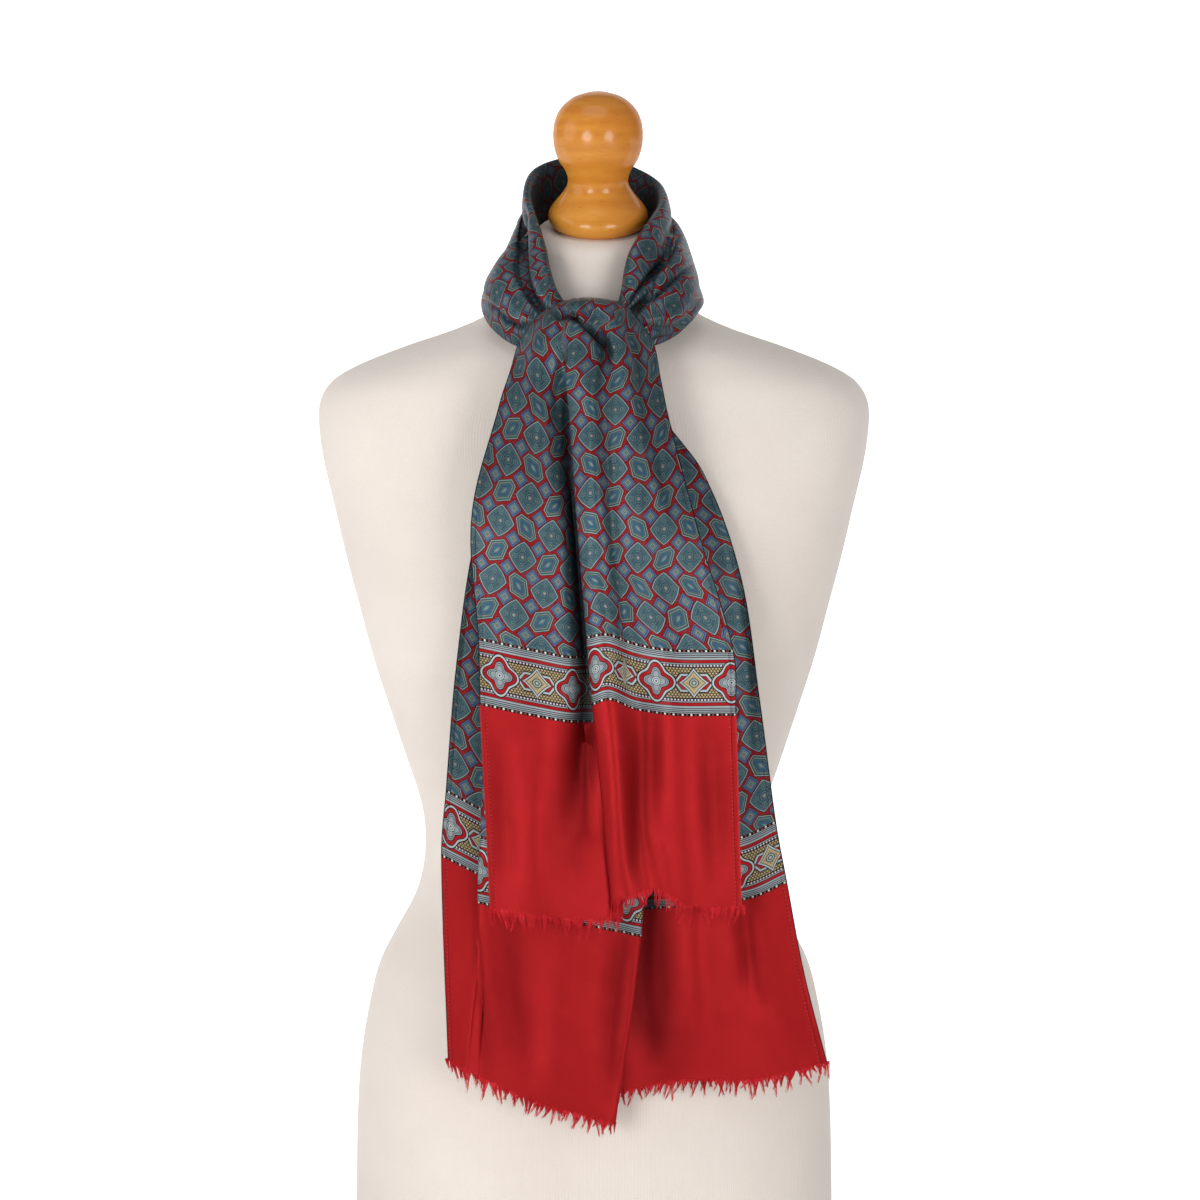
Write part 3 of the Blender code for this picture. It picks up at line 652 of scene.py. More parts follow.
QUATREFOILS = 53.3                       # from one quatrefoil to the next
QUATREFOIL_PLACE = 289.0
QUATREFOIL_LOBES, QUATREFOIL_SQUASH = 1.8, 0.9     # depth of the lobes; height to width
QUATREFOIL_RINGS = (
    # mean distance from the centre, and the colour
    (12.8, 22, 16, 22), (12, 178, 188, 190), (10.75, 22, 14, 20), (10.1, 166, 26, 32),
    (7.9, 22, 16, 22), (7.2, 160, 170, 174), (6.6, 50, 52, 60), (6.1, 146, 156, 160),
    (5.3, 54, 58, 66), (4.8, 146, 156, 160),
)
QUATREFOIL_EYE = (
    (3.5, 66, 68, 76), (3.1, 170, 178, 180), (2.1, 70, 74, 82), (1.7, 182, 190, 190),
    (0.7, 60, 64, 72),
)
FRAME_RINGS = ((0.8, 22, 16, 22), (0, 174, 184, 186), (-1.4, 24, 16, 22), (-2, 168, 26, 32))
DIAMOND_HALF, DIAMOND_HOLLOW = (10.0, 10.6), 0.85
DIAMOND_RINGS = (
    (1.14, 22, 16, 22), (1.05, 176, 186, 188), (0.88, 36, 28, 30), (0.8, 180, 162, 122),
    (0.52, 60, 50, 44), (0.47, 172, 158, 122),
)
DIAMOND_EYE = ((3.5, 60, 72, 80), (2.8, 160, 168, 160), (1.9, 60, 76, 84), (1.1, 170, 176, 158))
SELVAGE, HEM_LINE = 0.8, 3.9             # dark edge of the cloth; where its hem is caught down
SLUB, WRONG_SIDE_AND_SHADE = 0.34, 0.6             # how much slubs vary the colour, and how much the back is dulled and darkened, partly as painted shade
FOLD_SHADE_GAIN, FOLD_SHADE_START, FOLD_SHADE_MOST = 0.15, -0.04, 0.88     # painted shade: fold hollows are darkened with their depth
TWILL = 13.0                             # how close the twill's ribs lie


def rings(recipe, ground, distance, table, blur=0.16):
    """Paint a table of rings over the ground, from the outermost in."""
    for edge, *colour in table:
        ground = recipe.mix(distance.below(edge, blur), ground, tint(*colour))
    return ground


def length(recipe, across, along):
    return recipe.maths("SQRT", across * across + along * along)


def printed_field(recipe, u, v, start):
    right = (u - start) * (1 / CELL)
    down = (FIELD_PLACE - v) * (1 / CELL)
    # medallions, on the lattice turned by an eighth
    s, t = (right + down) * 0.5, (right - down) * 0.5
    slip, slide = s - s.whole(), t - t.whole()
    x, y = abs(slip + slide) * CELL, abs(slip - slide) * CELL
    tip, bulge = MEDALLION_REACH
    edge = length(recipe, x + bulge, y + bulge) - math.hypot(tip + bulge, bulge)
    colour = rings(recipe, GROUND_RED, edge, MEDALLION_RINGS)
    lobe = length(recipe, (recipe.maths("MAXIMUM", x, y) - LOBE_PLACE) * LOBE_FLATNESS,
                  recipe.maths("MINIMUM", x, y))
    colour = rings(recipe, colour, lobe, MEDALLION_LOBES)
    colour = rings(recipe, colour, length(recipe, x, y), MEDALLION_EYE)
    # lozenges, half a step on, leaning by turns from row to row
    s, t = s + 0.5, t + 0.5
    s_home, t_home = s.whole(), t.whole()
    slip, slide = s - s_home, t - t_home
    lean = 1 - 2 * ((s_home - t_home) % 2.0)
    x, y = (slip + slide) * CELL, (slip - slide) * CELL * lean
    tip, side = abs(x + y) * math.sqrt(0.5), abs(y - x) * math.sqrt(0.5)
    flank = (side + tip * LOZENGE_TAPER - LOZENGE_WAIST) * (1 / math.hypot(1, LOZENGE_TAPER))
    edge = recipe.maths("MAXIMUM", tip - LOZENGE_REACH, flank)
    colour = rings(recipe, colour, edge, LOZENGE_RINGS)
    colour = rings(recipe, colour, length(recipe, tip * LOZENGE_EYE_FLATNESS, side), LOZENGE_EYE)
    # small squares between every four motifs, pushed a little to and fro
    a, b = right - 0.5, down - 0.5
    a_home, b_home = a.whole(), b.whole()
    x = (a - a_home) * CELL - SQUARE_SHIFT[0] - SQUARE_SWING + (b_home % 2.0) * (2 * SQUARE_SWING)
    y = (b - b_home) * CELL - SQUARE_SHIFT[1] + SQUARE_SWING - (a_home % 2.0) * (2 * SQUARE_SWING)
    return rings(recipe, colour, abs(x) + abs(y), SQUARE_RINGS)


def beads(recipe, colour, u, off, pitch, row, radius, tints):
    """A row of beads each side of the border's middle, in one colour or two by turns."""
    step = u * (1 / pitch)
    home = step.whole()
    reach = length(recipe, (step - home) * pitch, off - row)
    bead = recipe.mix(home % 2.0, *tints) if len(tints) == 2 else tints[0]
    return recipe.mix(reach.below(radius), colour, bead)


def printed_border(recipe, u, v):
    off = abs(v - BORDER_MIDDLE)
    colour = rings(recipe, END_RED, off, BORDER_BANDS)
    for place in PINLINES:
        colour = recipe.mix(abs(off - place).below(PINLINE_HALF) * 0.9, colour, tint(34, 34, 42))
    # scale filling of the middle band: staggered arcs
    row = off * (1 / SCALE_ROW)
    row_home = row.whole()
    step = u * (1 / SCALE_STEP) + (row_home % 2.0) * 0.5
    arc = length(recipe, (step - step.whole()) * SCALE_STEP, (row - row_home) * SCALE_RISE)
    inner = off.below(BORDER_BANDS[-1][0])
    colour = recipe.mix((1 - arc.below(SCALE_RADIUS, 0.3)) * inner * 0.95, colour,
                        tint(40, 30, 28))
    colour = beads(recipe, colour, u, off, BEADS, BEAD_ROW, BEAD_RADIUS,
                   (tint(224, 222, 212), tint(140, 74, 68)))
    colour = beads(recipe, colour, u, off, PEARLS, PEARL_ROW, PEARL_RADIUS,
                   (tint(206, 200, 208),))
    # hollow-sided diamond in its frame
    step = (u - QUATREFOIL_PLACE) * (1 / QUATREFOILS)
    shifted = step + 0.5
    x = abs(shifted - shifted.whole()) * QUATREFOILS
    across, up = FRAME_SLANT
    frame = recipe.maths("MAXIMUM", off - FRAME_TOP, (x - FRAME_CORNER) * across + off * up)
    colour = rings(recipe, colour, frame, FRAME_RINGS[:3])
    inside, *red = FRAME_RINGS[3]
    petal = frame.below(inside) * (1 - x.below(PETAL_PLACE))
    colour = recipe.mix(frame.below(inside), colour, tint(*BORDER_BANDS[-1][1:]))
    colour = recipe.mix(petal, colour, tint(*red))
    hollow = ((x * (1 / DIAMOND_HALF[0])) ** DIAMOND_HOLLOW
              + (off * (1 / DIAMOND_HALF[1])) ** DIAMOND_HOLLOW) ** (1 / DIAMOND_HOLLOW)
    colour = rings(recipe, colour, hollow, DIAMOND_RINGS, 0.02)
    colour = rings(recipe, colour, length(recipe, x, off), DIAMOND_EYE)
    # quatrefoil
    x = abs(step - step.whole()) * QUATREFOILS
    xx, yy = x * x, off * off * QUATREFOIL_SQUASH ** 2
    whole = xx + yy + 0.01
    lobes = (xx * yy * -8.0 / (whole * whole) + 1.0) * QUATREFOIL_LOBES
    colour = rings(recipe, colour, length(recipe, x, off * QUATREFOIL_SQUASH) - lobes,
                   QUATREFOIL_RINGS)
    return rings(recipe, colour, length(recipe, x, off), QUATREFOIL_EYE)


def printed_silk(name, field_start, end_selvage):
    """Silk twill with a soft lustre, printed on one side and duller on the other, which is also
    darkened as painted shade.

    The field's lattice has a column at field_start, and the plain end its own edge colour."""
    material, recipe, shader = start_finish(name, 0.45, Metallic=0.5, Sheen_Weight=0.015,
                                            Sheen_Roughness=0.35, Specular_IOR_Level=0.08)
    place = recipe.node("ShaderNodeUVMap", {"uv_map": "cloth"})
    u, v = recipe.part(place, 0), recipe.part(place, 1)
    field = printed_field(recipe, u, v, field_start)
    border = printed_border(recipe, u, v)
    speck = recipe.noise(place, 1.1, 1.0)
    field = recipe.mix(speck.scaled(4.0, -2.2) * 0.4, field, tint(132, 150, 150))
    field = recipe.mix(speck.scaled(-4.0, 1.8) * 0.5, field, tint(34, 42, 54))
    bordered, end = v.below(BORDER_MIDDLE + BORDER_HALF), v.below(END_PANEL)
    colour = recipe.mix(end, recipe.mix(bordered, field, border), END_RED)
    inside = recipe.mark("from_edge")
    colour = recipe.mix(abs(inside - HEM_LINE).below(0.3, 0.5) * 0.4, colour, tint(30, 10, 16))
    colour = recipe.mix(inside.below(SELVAGE, 0.4), colour,
                        recipe.mix(end, tint(34, 36, 44), end_selvage))
    # slubs along the weft and warp, and the dye's slight unevenness
    weft = recipe.node("ShaderNodeMapping", {}, {"Vector": place, "Scale": (0.10, 2.6, 1.0)})
    warp = recipe.node("ShaderNodeMapping", {}, {"Vector": place, "Scale": (2.2, 0.06, 1.0)})
    slub = recipe.noise(weft, 1.0, 3.0)
    thread = recipe.noise(warp, 1.0)
    mottle = recipe.noise(place, 0.06)
    shade = recipe.maths("MULTIPLY_ADD", slub * 0.5 + thread * 0.5, SLUB, 1 - SLUB / 2)
    field_depth, border_depth = PRINT_DEPTH
    depth = bordered * (border_depth - field_depth) + field_depth
    shade = shade * (depth + end * (1 - border_depth))
    grey = recipe.node("ShaderNodeCombineColor", {}, {0: shade, 1: shade, 2: shade})
    colour = recipe.mix(1.0, colour, grey, "MULTIPLY")
    colour = recipe.mix(mottle.scaled(3.0, -1.5) * 0.18, colour,
                        recipe.mix(end, tint(90, 112, 116), tint(190, 40, 42)))
    # the wrong side is dulled, and darkened further as painted shade
    colour = recipe.mix(recipe.mark("wrong_side") * WRONG_SIDE_AND_SHADE, colour, tint(20, 24, 28))
    # painted shade: the colour is darkened in the hollows of deep folds, by their crease depth
    painted_fold_shade = recipe.mark("hollow").scaled(FOLD_SHADE_GAIN, FOLD_SHADE_START) * FOLD_SHADE_MOST
    colour = recipe.mix(painted_fold_shade, colour, recipe.mix(end, tint(14, 16, 22), tint(96, 5, 9)))
    twill = recipe.maths("SINE", (u + v) * TWILL)
    bump = recipe.bump(0.25, 0.00008, twill * 0.5 + slub * 1.2 + thread * 0.8)
    rough = slub * 0.12 + 0.36
    join(recipe, shader, Base_Color=colour, Roughness=rough, Normal=bump)
    return material


def turned_fold(before, place, after):
    """Three points round a fold: on the layer before it, outermost, on the layer after it."""
    arrive, leave = place - before, after - place
    sharp = (arrive.normalized() - leave.normalized()).length / 2
    apart = Vector((0, TURN * sharp, 0)) * (1 if before.y > after.y else -1)
    return [place - arrive.normalized() * min(1.2 * TURN, 0.3 * arrive.length) + apart,
            place,
            place + leave.normalized() * min(1.2 * TURN, 0.3 * leave.length) - apart]


def section(lines, folds, run):
    """The cloth's cross line at a run, and which line of the cloth each point is at."""
    names = list(lines)
    places = [Vector(column_at(lines[name], run)) for name in names]
    controls, counts, marks = [places[0]], [], []
    for index in range(1, len(names)):
        counts.append(ACROSS)
        marks += [index - 1 + step / ACROSS for step in range(ACROSS)]
        if names[index] in folds:
            controls += turned_fold(places[index - 1], places[index], places[index + 1])
            counts += [ROUND, ROUND]
            marks += [index] * (2 * ROUND)
        else:
            controls.append(places[index])
    return with_hems(spline(controls, counts)), with_hems(marks + [len(names) - 1.0])


def with_hems(row):
    """The same cross line with closer points in its first and last step, for the hems."""
    def between(start, end, share):
        return start + (end - start) * share

    first = [between(row[0], row[1], share) for share in HEM_SHARES]
    last = [between(row[-1], row[-2], share) for share in reversed(HEM_SHARES)]
    return [row[0], *first, *row[1:-1], *last, row[-1]]


def cloth_normals(grid):
    rows, wide = len(grid), len(grid[0])
    return [[((grid[min(i + 1, rows - 1)][j] - grid[max(i - 1, 0)][j])
              .cross(grid[i][min(j + 1, wide - 1)] - grid[i][max(j - 1, 0)])).normalized()
             for j in range(wide)] for i in range(rows)]


def held(value):
    """The value, kept from 0 to 1."""
    return min(max(value, 0.0), 1.0)


def polyline_reach(x, z, places):
    """How far a place is from a chain of places, and how far along the chain, from 0 to 1."""
    best, where = 1e9, 0.0
    for index, ((ax, az), (bx, bz)) in enumerate(zip(places, places[1:])):
        dx, dz = bx - ax, bz - az
        share = held(((x - ax) * dx + (z - az) * dz) / (dx * dx + dz * dz))
        away = math.hypot(x - ax - dx * share, z - az - dz * share)
        if away < best:
            best, where = away, (index + share) / (len(places) - 1)
    return best, where


def crease_depth(x, z, creases, line=0.0):
    """How deep all the creases together press the cloth at a place of one of its lines.

    A crease is a rounded trough across its chain of places, and eases off at both its ends."""
    total = 0.0
    for depth, width, places, *reach in creases:
        if reach and not reach[0] <= line <= reach[1]:
            continue
        away, where = polyline_reach(x, z, places)
        if away < CREASE_REACH * width:
            total += depth * math.exp(-(away / width) ** 2) * math.sin(
                math.pi * (0.05 + 0.9 * where)) ** 0.7
    return total


def ripple(point):
    return sum(depth * noise.noise(point / size) for depth, size in RIPPLE)


def hung_cloth(lines, folds, runs, creases):
    """A grid of points over hanging cloth, row by row up the runs, with its creases."""
    rows = [section(lines, folds, run) for run in runs]
    grid, marks = [row for row, _ in rows], rows[0][1]
    pressed, hollows = [], []
    for row, ways in zip(grid, cloth_normals(grid)):
        line, depths = [], []
        for point, way, mark in zip(row, ways, marks):
            share = min(abs(way.y) / STEEP, 1.0)
            depth = crease_depth(point.x, point.z, creases, mark) * share
            inward = way if way.y > 0 else -way
            line.append(point + inward * (depth + ripple(point) * share))
            # the crease depth is kept to paint shade into the colour of the fold's hollow
            depths.append(max(depth, 0.0))
        pressed.append(line)
        hollows.append(depths)
    return pressed, marks, hollows


def arc_lengths(row):
    lengths = [0.0]
    for start, end in zip(row, row[1:]):
        lengths.append(lengths[-1] + (end - start).length)
    return lengths


def print_places(grid, marks, runs, tucks, shifts, gathers, pleat=(0.0, 0.0)):
    """Where each point lies on the flat print, and how far it is from a long edge.

    Each panel is measured from its own edge of the cloth. Under the fold between the panels
    the print runs evenly from the one to the other. Over the field it may be packed closer
    across than the panel is wide, and lean, as it does where the cloth is gathered."""
    tuck, fold = tucks
    tuck, fold = max(j for j, mark in enumerate(marks) if mark <= tuck), marks.index(fold)
    drift = [0.0, 0.0]
    across, along, from_edge = [], [], []
    for i, (row, run) in enumerate(zip(grid, runs)):
        lengths = arc_lengths(row)
        share = held((run - GATHER_START) / GATHER_SPAN)
        corners = []
        for panel, (pack, lean, slope, slid) in enumerate(gathers):
            start = (0, fold)[panel]
            if share == 0.0:
                drift[panel] = 0.0 if panel == 0 else CLOTH_WIDTH - (lengths[-1] - lengths[start])
            else:
                step = row[start] - grid[i - 1][start]
                rise = math.hypot(step.y, step.z)
                drift[panel] += (step.x - rise * math.tan(math.radians(lean))) * share
            shift = shifts[panel][0] * (1 - share) + shifts[panel][1] * share
            corners.append((drift[panel] + shift, 1 + (pack - 1) * share, slope * share,
                            slid * share))
        places = []
        for j, reach in enumerate(lengths):
            offset, pack, slope, slid = corners[j > tuck]
            way = reach - (lengths[fold] if j > tuck else 0.0)
            if j > tuck and way > pleat[0]:
                offset += pleat[1] * (1 - share)
            places.append((offset + way * pack, run + way * slope + slid))
        for j in range(tuck + 1, fold):
            part = (j - tuck) / (fold - tuck)
            places[j] = tuple(a + (b - a) * part for a, b in zip(places[tuck], places[fold]))
        across.append([place[0] for place in places])
        along.append([place[1] for place in places])
        from_edge.append([min(reach, lengths[-1] - reach) for reach in lengths])
    return across, along, from_edge


def cloth_piece(name, part, sheet, material, wrong=None, hems=True):
    """A closed thin shell on some rows of a sheet's points, thicker along its hems.

    The sheet holds points, normals, hollows, places across and along the print, and ways from
    the edge. Its first side is the cloth's wrong side, unless wrong says it point by point."""
    grid, normals, hollows, across, along, from_edge = [table[part] for table in sheet]
    # the wrong side is dulled and darkened in the colour, partly as painted shade
    wrong = wrong[part] if wrong else [[(1.0, 0.0)] * len(row) for row in grid]
    rows, wide = len(grid), len(grid[0])
    verts, places, sides, edges, deeps = [], [], [], [], []
    for side, half in ((0, 0.5), (1, -0.5)):
        for i in range(rows):
            for j in range(wide):
                at_hem = hems and not HEM_POINTS <= j < wide - HEM_POINTS
                verts.append(grid[i][j] + normals[i][j] * (half * (HEM if at_hem else SILK)))
                places.append((across[i][j], along[i][j]))
                sides.append(wrong[i][j][side])
                edges.append(from_edge[i][j])
                deeps.append(hollows[i][j])
    back = rows * wide
    faces = []
    for i in range(rows - 1):
        for j in range(wide - 1):
            a, b = i * wide + j, (i + 1) * wide + j
            faces += [(a, b, b + 1, a + 1), (back + a + 1, back + b + 1, back + b, back + a)]
    rim = [*range(0, back - wide, wide), *range(back - wide, back - 1),
           *range(back - 1, wide - 1, -wide), *range(wide - 1, 0, -1)]
    faces += [(b, a, back + a, back + b) for a, b in zip(rim, rim[1:] + rim[:1])]
    corners = [places[v] for face in faces for v in face]
    # the hollow mark carries crease depth, for painted shade in the folds
    return finish_mesh(name, verts, faces, material, {"cloth": corners},
                       {"wrong_side": sides, "from_edge": edges, "hollow": deeps}, 60)


def even_runs(start, end, step):
    count = round((end - start) / step)
    return [start + (end - start) * i / count for i in range(count + 1)]


front_silk = printed_silk("printed_silk_front", 263.0, tint(166, 40, 43))
front_runs = even_runs(0.0, FRONT_TOP, FRONT_STEP)
last = len(front_runs)
front_runs += even_runs(FRONT_TOP, KNOT_END, KNOT_STEP)[1:]
front_grid, marks, hollows = hung_cloth(FRONT_LINES, FRONT_FOLDS, front_runs, FRONT_CREASES)
front_normals = cloth_normals(front_grid)
front_sheet = (front_grid, front_normals, hollows,
               *print_places(front_grid, marks, front_runs, FRONT_TUCKS, FRONT_SHIFTS,
                             FRONT_GATHERS, FRONT_PLEAT))
front_cloth = cloth_piece("front_end", slice(0, last), front_sheet, front_silk)
knot_cloth = cloth_piece("crossing", slice(last - 1, None), front_sheet, front_silk)
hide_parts("front_tail")
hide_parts("knot")

# ================================================================ scarf: back end
# The longer end hangs behind the front one, nearer the form, in three panels: a narrow strip
# at the left, a broad panel over it, and a right panel that slants out to its lower corner.
BACK_RUNS = (0, 140, 187, 276, 366, 440, 508)
BACK_LINES = at_runs(BACK_RUNS, {
    "left_edge": (
        (-104, -124, 178.5), (-108, -124, 327), (-104.5, -124.5, 373), (-97, -125, 460),
        (-84, -122, 549), (-62, -110, 617), (-34, -84, 674),
    ),
    "strip_tuck": (
        (-91, -124.5, 171.5), (-74, -125, 309), (-70, -125.5, 354), (-64, -125.5, 447),
        (-56, -122.5, 538), (-40, -110.5, 612), (-24, -84.5, 674),
    ),
    "panel_fold": (
        (-80, -129, 166), (-82, -130.5, 294.5), (-80, -130.5, 341), (-75, -129.5, 436),
        (-65, -127, 530), (-47, -115.5, 607), (-27, -89, 673),
    ),
    "panel_swell": (
        (-36, -135, 148.5), (-26, -136, 284), (-24, -136, 331), (-20, -135.5, 428),
        (-14, -133, 525), (-8, -121.5, 603), (-4, -94, 672.5),
    ),
    "panel_edge": (
        (15.5, -136.5, 136), (33, -134.5, 271), (36, -134, 318), (36, -133.5, 420),
        (32, -131, 522), (22, -119.5, 602), (10, -93, 673),
    ),
    "hidden_tuck": (
        (0, -129.5, 152), (8, -127.5, 284), (8, -127.5, 332), (6, -127.5, 428), (5, -125, 525),
        (4, -113.5, 604), (3, -86.5, 673),
    ),
    "right_swell": (
        (60, -127.5, 163.5), (74, -126.5, 291.5), (72, -126.5, 335.5), (66, -127, 431),
        (58, -125, 527), (44, -113.5, 601), (18, -88, 673.5),
    ),
    "right_trough": (
        (118, -119, 163), (110, -121, 295), (105, -121.5, 339), (94, -122.5, 434), (82, -121, 527),
        (60, -110, 599), (25.5, -85.5, 674),
    ),
    "right_edge": (
        (166.5, -118, 175), (137, -120, 307), (129, -121, 350), (117, -122, 438), (103, -120, 527),
        (77, -108, 597), (30, -85, 674),
    ),
})
# the right edge bends at two more runs
BACK_LINES["right_edge"] = sorted(BACK_LINES["right_edge"] + [(70, 149.5, -119, 241),
                                                              (475, 48, -97, 636)])
BACK_FOLDS = ("strip_tuck", "panel_fold", "panel_edge", "hidden_tuck")
BACK_TOP, BACK_STEP = 508.0, 3.9
BACK_TUCKS, BACK_SHIFTS = (4.0, 5.0), ((16.0, 16.0), (24.4, 24.4))
BACK_GATHERS = ((1.0, 0.0, 0.0, 0.0), (1.0, -9.0, 0.0, 0.0))
BACK_CREASES = (
    # depth, width, places (x, z) from the top down, and the first and last line pressed, if any
    (10, 19, ((38, 330), (38, 280), (38, 235), (42, 205), (50, 175)), 5, 8),
    (-2.5, 10, ((68, 310), (73, 260), (84, 179))),
    (4, 8, ((106, 300), (111, 259), (116, 222))),
    (-2, 9, ((139, 272), (147, 228), (156, 187))),
    (5, 10, ((22, 290), (16, 225), (9, 159)), 2, 4),
    (3.4, 10, ((-88, 270), (-81, 216), (-70, 168)), 2, 4),
    (3.4, 12, ((-59, 290), (-56, 231), (-45, 175))),
    (-2.4, 12, ((-20, 270), (-24, 210), (-27, 160))),
    (1.4, 6, ((-60, 420), (-62, 330))),
    (1.8, 5, ((96, 560), (108, 470), (112, 400))),
    (1.2, 5, ((-92, 520), (-96, 440), (-98, 370))),
)

back_silk = printed_silk("printed_silk_back", 253.0, tint(46, 22, 34))
back_runs = even_runs(0.0, BACK_TOP, BACK_STEP)
back_grid, marks, hollows = hung_cloth(BACK_LINES, BACK_FOLDS, back_runs, BACK_CREASES)
back_normals = cloth_normals(back_grid)
back_sheet = (back_grid, back_normals, hollows,
              *print_places(back_grid, marks, back_runs, BACK_TUCKS, BACK_SHIFTS, BACK_GATHERS))
back_cloth = cloth_piece("back_end", slice(None), back_sheet, back_silk)
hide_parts("back_tail")

# ================================================================ scarf: neck loop
# Between its ends the strip goes once round the neck, folded lengthwise into a soft roll with
# a deep crease outside it, its edges hidden inside. It is three stretches end to end.
LOOP_ROUND = 9               # steps between the rows of the fold's table
LOOP_STEP = 0.075            # of the way from one station to the next
FORM_CLEAR, LAYER_PITCH = 2.3, 2.6       # the innermost layer to the skin, and layer to layer
LEAST_CLEAR = FORM_CLEAR * 0.8           # anywhere between the rows of the fold's table
NECK_AXIS = Vector((0.0, 2.0, 0.0))
LEFT_END, RIGHT_START = 6.0, 10.0        # stations where the left and back stretches end
AHEAD_UP_TO, AHEAD_FROM = 4.3, 11.7      # the front's creases fade out between these stations
BEHIND_FROM, BEHIND_UP_TO = 4.0, 12.0    # the wrong side may be seen inside between these, and is darkened there as painted shade
INNER_UP_TO, OUTER_FROM = 3.6, 4.2       # rows of the fold's table: inner face, creased outer one
INNER_ROW = 2                            # the middle of the inner face
FACING, FACING_GAIN = 0.1, 3             # the front's creases need cloth that faces forwards
LOOP_EDGE = 20.0             # the cloth's own edges lie this far from what shows, or more
LOOP_ALONG, LOOP_ACROSS = 600.0, 40.0    # where on the print the loop begins
LOOP_PACK, OUTER_PLACE = 1.14, 8.5       # the print is packed closer where the cloth gathers
# The folded cloth across the loop, from one edge to the other.
LOOP_FOLD = (
    # out from the neck, up, and how many layers lie beneath
    (1.5, -27.0, 0),         # one edge, hidden against the neck
    (0.5, -8.0, 0),
    (0.5, 14.0, 0),          # inner face
    (3.5, 27.5, 0),
    (9.0, 29.0, 1),          # soft roll along the top
    (13.0, 20.0, 2),
    (12.5, 8.0, 2),          # crease outside the roll
    (17.5, 8.5, 2),
    (22.5, -2.0, 2),         # outer swell
    (21.5, -17.0, 2),
    (18.0, -25.0, 2),
    (14.0, -34.0, 2),        # turned under
    (8.5, -33.0, 1),
    (6.5, -24.0, 1),         # other edge, hidden inside
)
# The loop's path, a row for each station from the crossing round the left, the back and the
# right to the crossing again: place of the inner face, the fold's width and height as a share
# of those in the table above, and its roll in degrees.
LOOP_PATH = (
    # x, y, z, wide, high, roll
    (-3.5, -71, 692.5, 0.85, 0.44, 0),
    (-19, -69, 694.5, 1, 0.5, 0),
    (-37, -60, 706, 1.18, 0.82, -3),
    (-45, -45, 722, 1.3, 1, -4),
    (-44.5, -22, 744, 0.85, 1, 0),
    (-42, 5, 763, 0.64, 1, 2),
    (-32.5, 32, 776, 0.6, 1, 0),
    (-17, 48, 782, 0.55, 1, 0),
    (1, 53, 781.5, 0.55, 1, 0),
    (20, 48, 776, 0.55, 1, 0),
    (37, 30, 767, 0.6, 1, 0),
    (46.5, 4, 756, 0.8, 1, -6),
    (47, -20, 743, 0.95, 1.05, -12),
    (42, -41, 728, 1.2, 1.08, -12),
    (33, -59.5, 708, 1.3, 0.84, -6),
    (19, -69, 695, 1, 0.5, 0),
    (3.5, -71, 692.5, 0.85, 0.44, 0),
)
# Creases of the front half as seen from the front, and of the back half as they pass the
# stations and the rows of the fold's table, which lie about so many millimetres apart.
LOOP_FRONT_CREASES = (
    (6.5, 2.2, ((-50, 777), (-51, 769), (-50, 749), (-49, 731), (-44, 718), (-36, 708))),
    (3.5, 4, ((-54, 775), (-54, 765), (-54, 752))),
    (4.2, 2.2, ((-76, 714), (-64, 702), (-54, 697), (-36, 700))),
    (-1.8, 5, ((-64, 758), (-67, 738), (-59, 719))),
    (6, 2, ((61, 758), (56, 749), (43, 735), (31, 721), (20, 711))),
    (5.4, 2.2, ((70, 738), (58, 731), (45, 722), (31, 711), (22, 704))),
    (-1.6, 2.6, ((66, 745), (52, 737), (38, 723))),
    (2.6, 2, ((68, 696), (45, 697), (29, 698))),
    (-1.6, 2.5, ((70, 703), (50, 705), (34, 704))),
    (2.6, 2.2, ((63, 692), (45, 688), (36, 684))),
    (1.6, 2.4, ((68, 715), (55, 714), (40, 705))),
)
STATION_APART, ROW_APART = 27.0, 11.0
LOOP_BACK_CREASES = (
    (2.4, 4, ((5, 8), (7, 8.8), (9, 8.2))),
    (2, 5, ((7, 9.6), (9.5, 9.2), (11, 9.8))),
    (1.8, 4, ((4.6, 7.2), (6.5, 7.5), (8.2, 7.1))),
    (-1.4, 5, ((6, 10), (8, 9.4), (10.4, 10.2))),
)


def path_row(station):
    return column_at([(index, *row) for index, row in enumerate(LOOP_PATH)], station)


def loop_section(station):
    """The folded cloth across the loop at a station, kept clear of the form layer by layer."""
    x, y, z, wide, high, roll = path_row(station)
    here = Vector((x, y, z))
    along = Vector(path_row(station + 0.2)[:3]) - Vector(path_row(station - 0.2)[:3])
    along.normalize()
    out = here - NECK_AXIS
    out.z = 0.0
    out = (out - along * out.dot(along)).normalized()
    up = along.cross(out)
    if up.z < 0:
        up = -up
    lean = math.radians(roll)
    out, up = (out * math.cos(lean) - up * math.sin(lean),
               up * math.cos(lean) + out * math.sin(lean))
    controls = [clear_of_form(here + out * (depth * wide) + up * (rise * high),
                              FORM_CLEAR + layers * LAYER_PITCH)
                for depth, rise, layers in LOOP_FOLD]
    return [clear_of_form(point, LEAST_CLEAR)
            for point in spline(controls, [LOOP_ROUND] * (len(controls) - 1))]


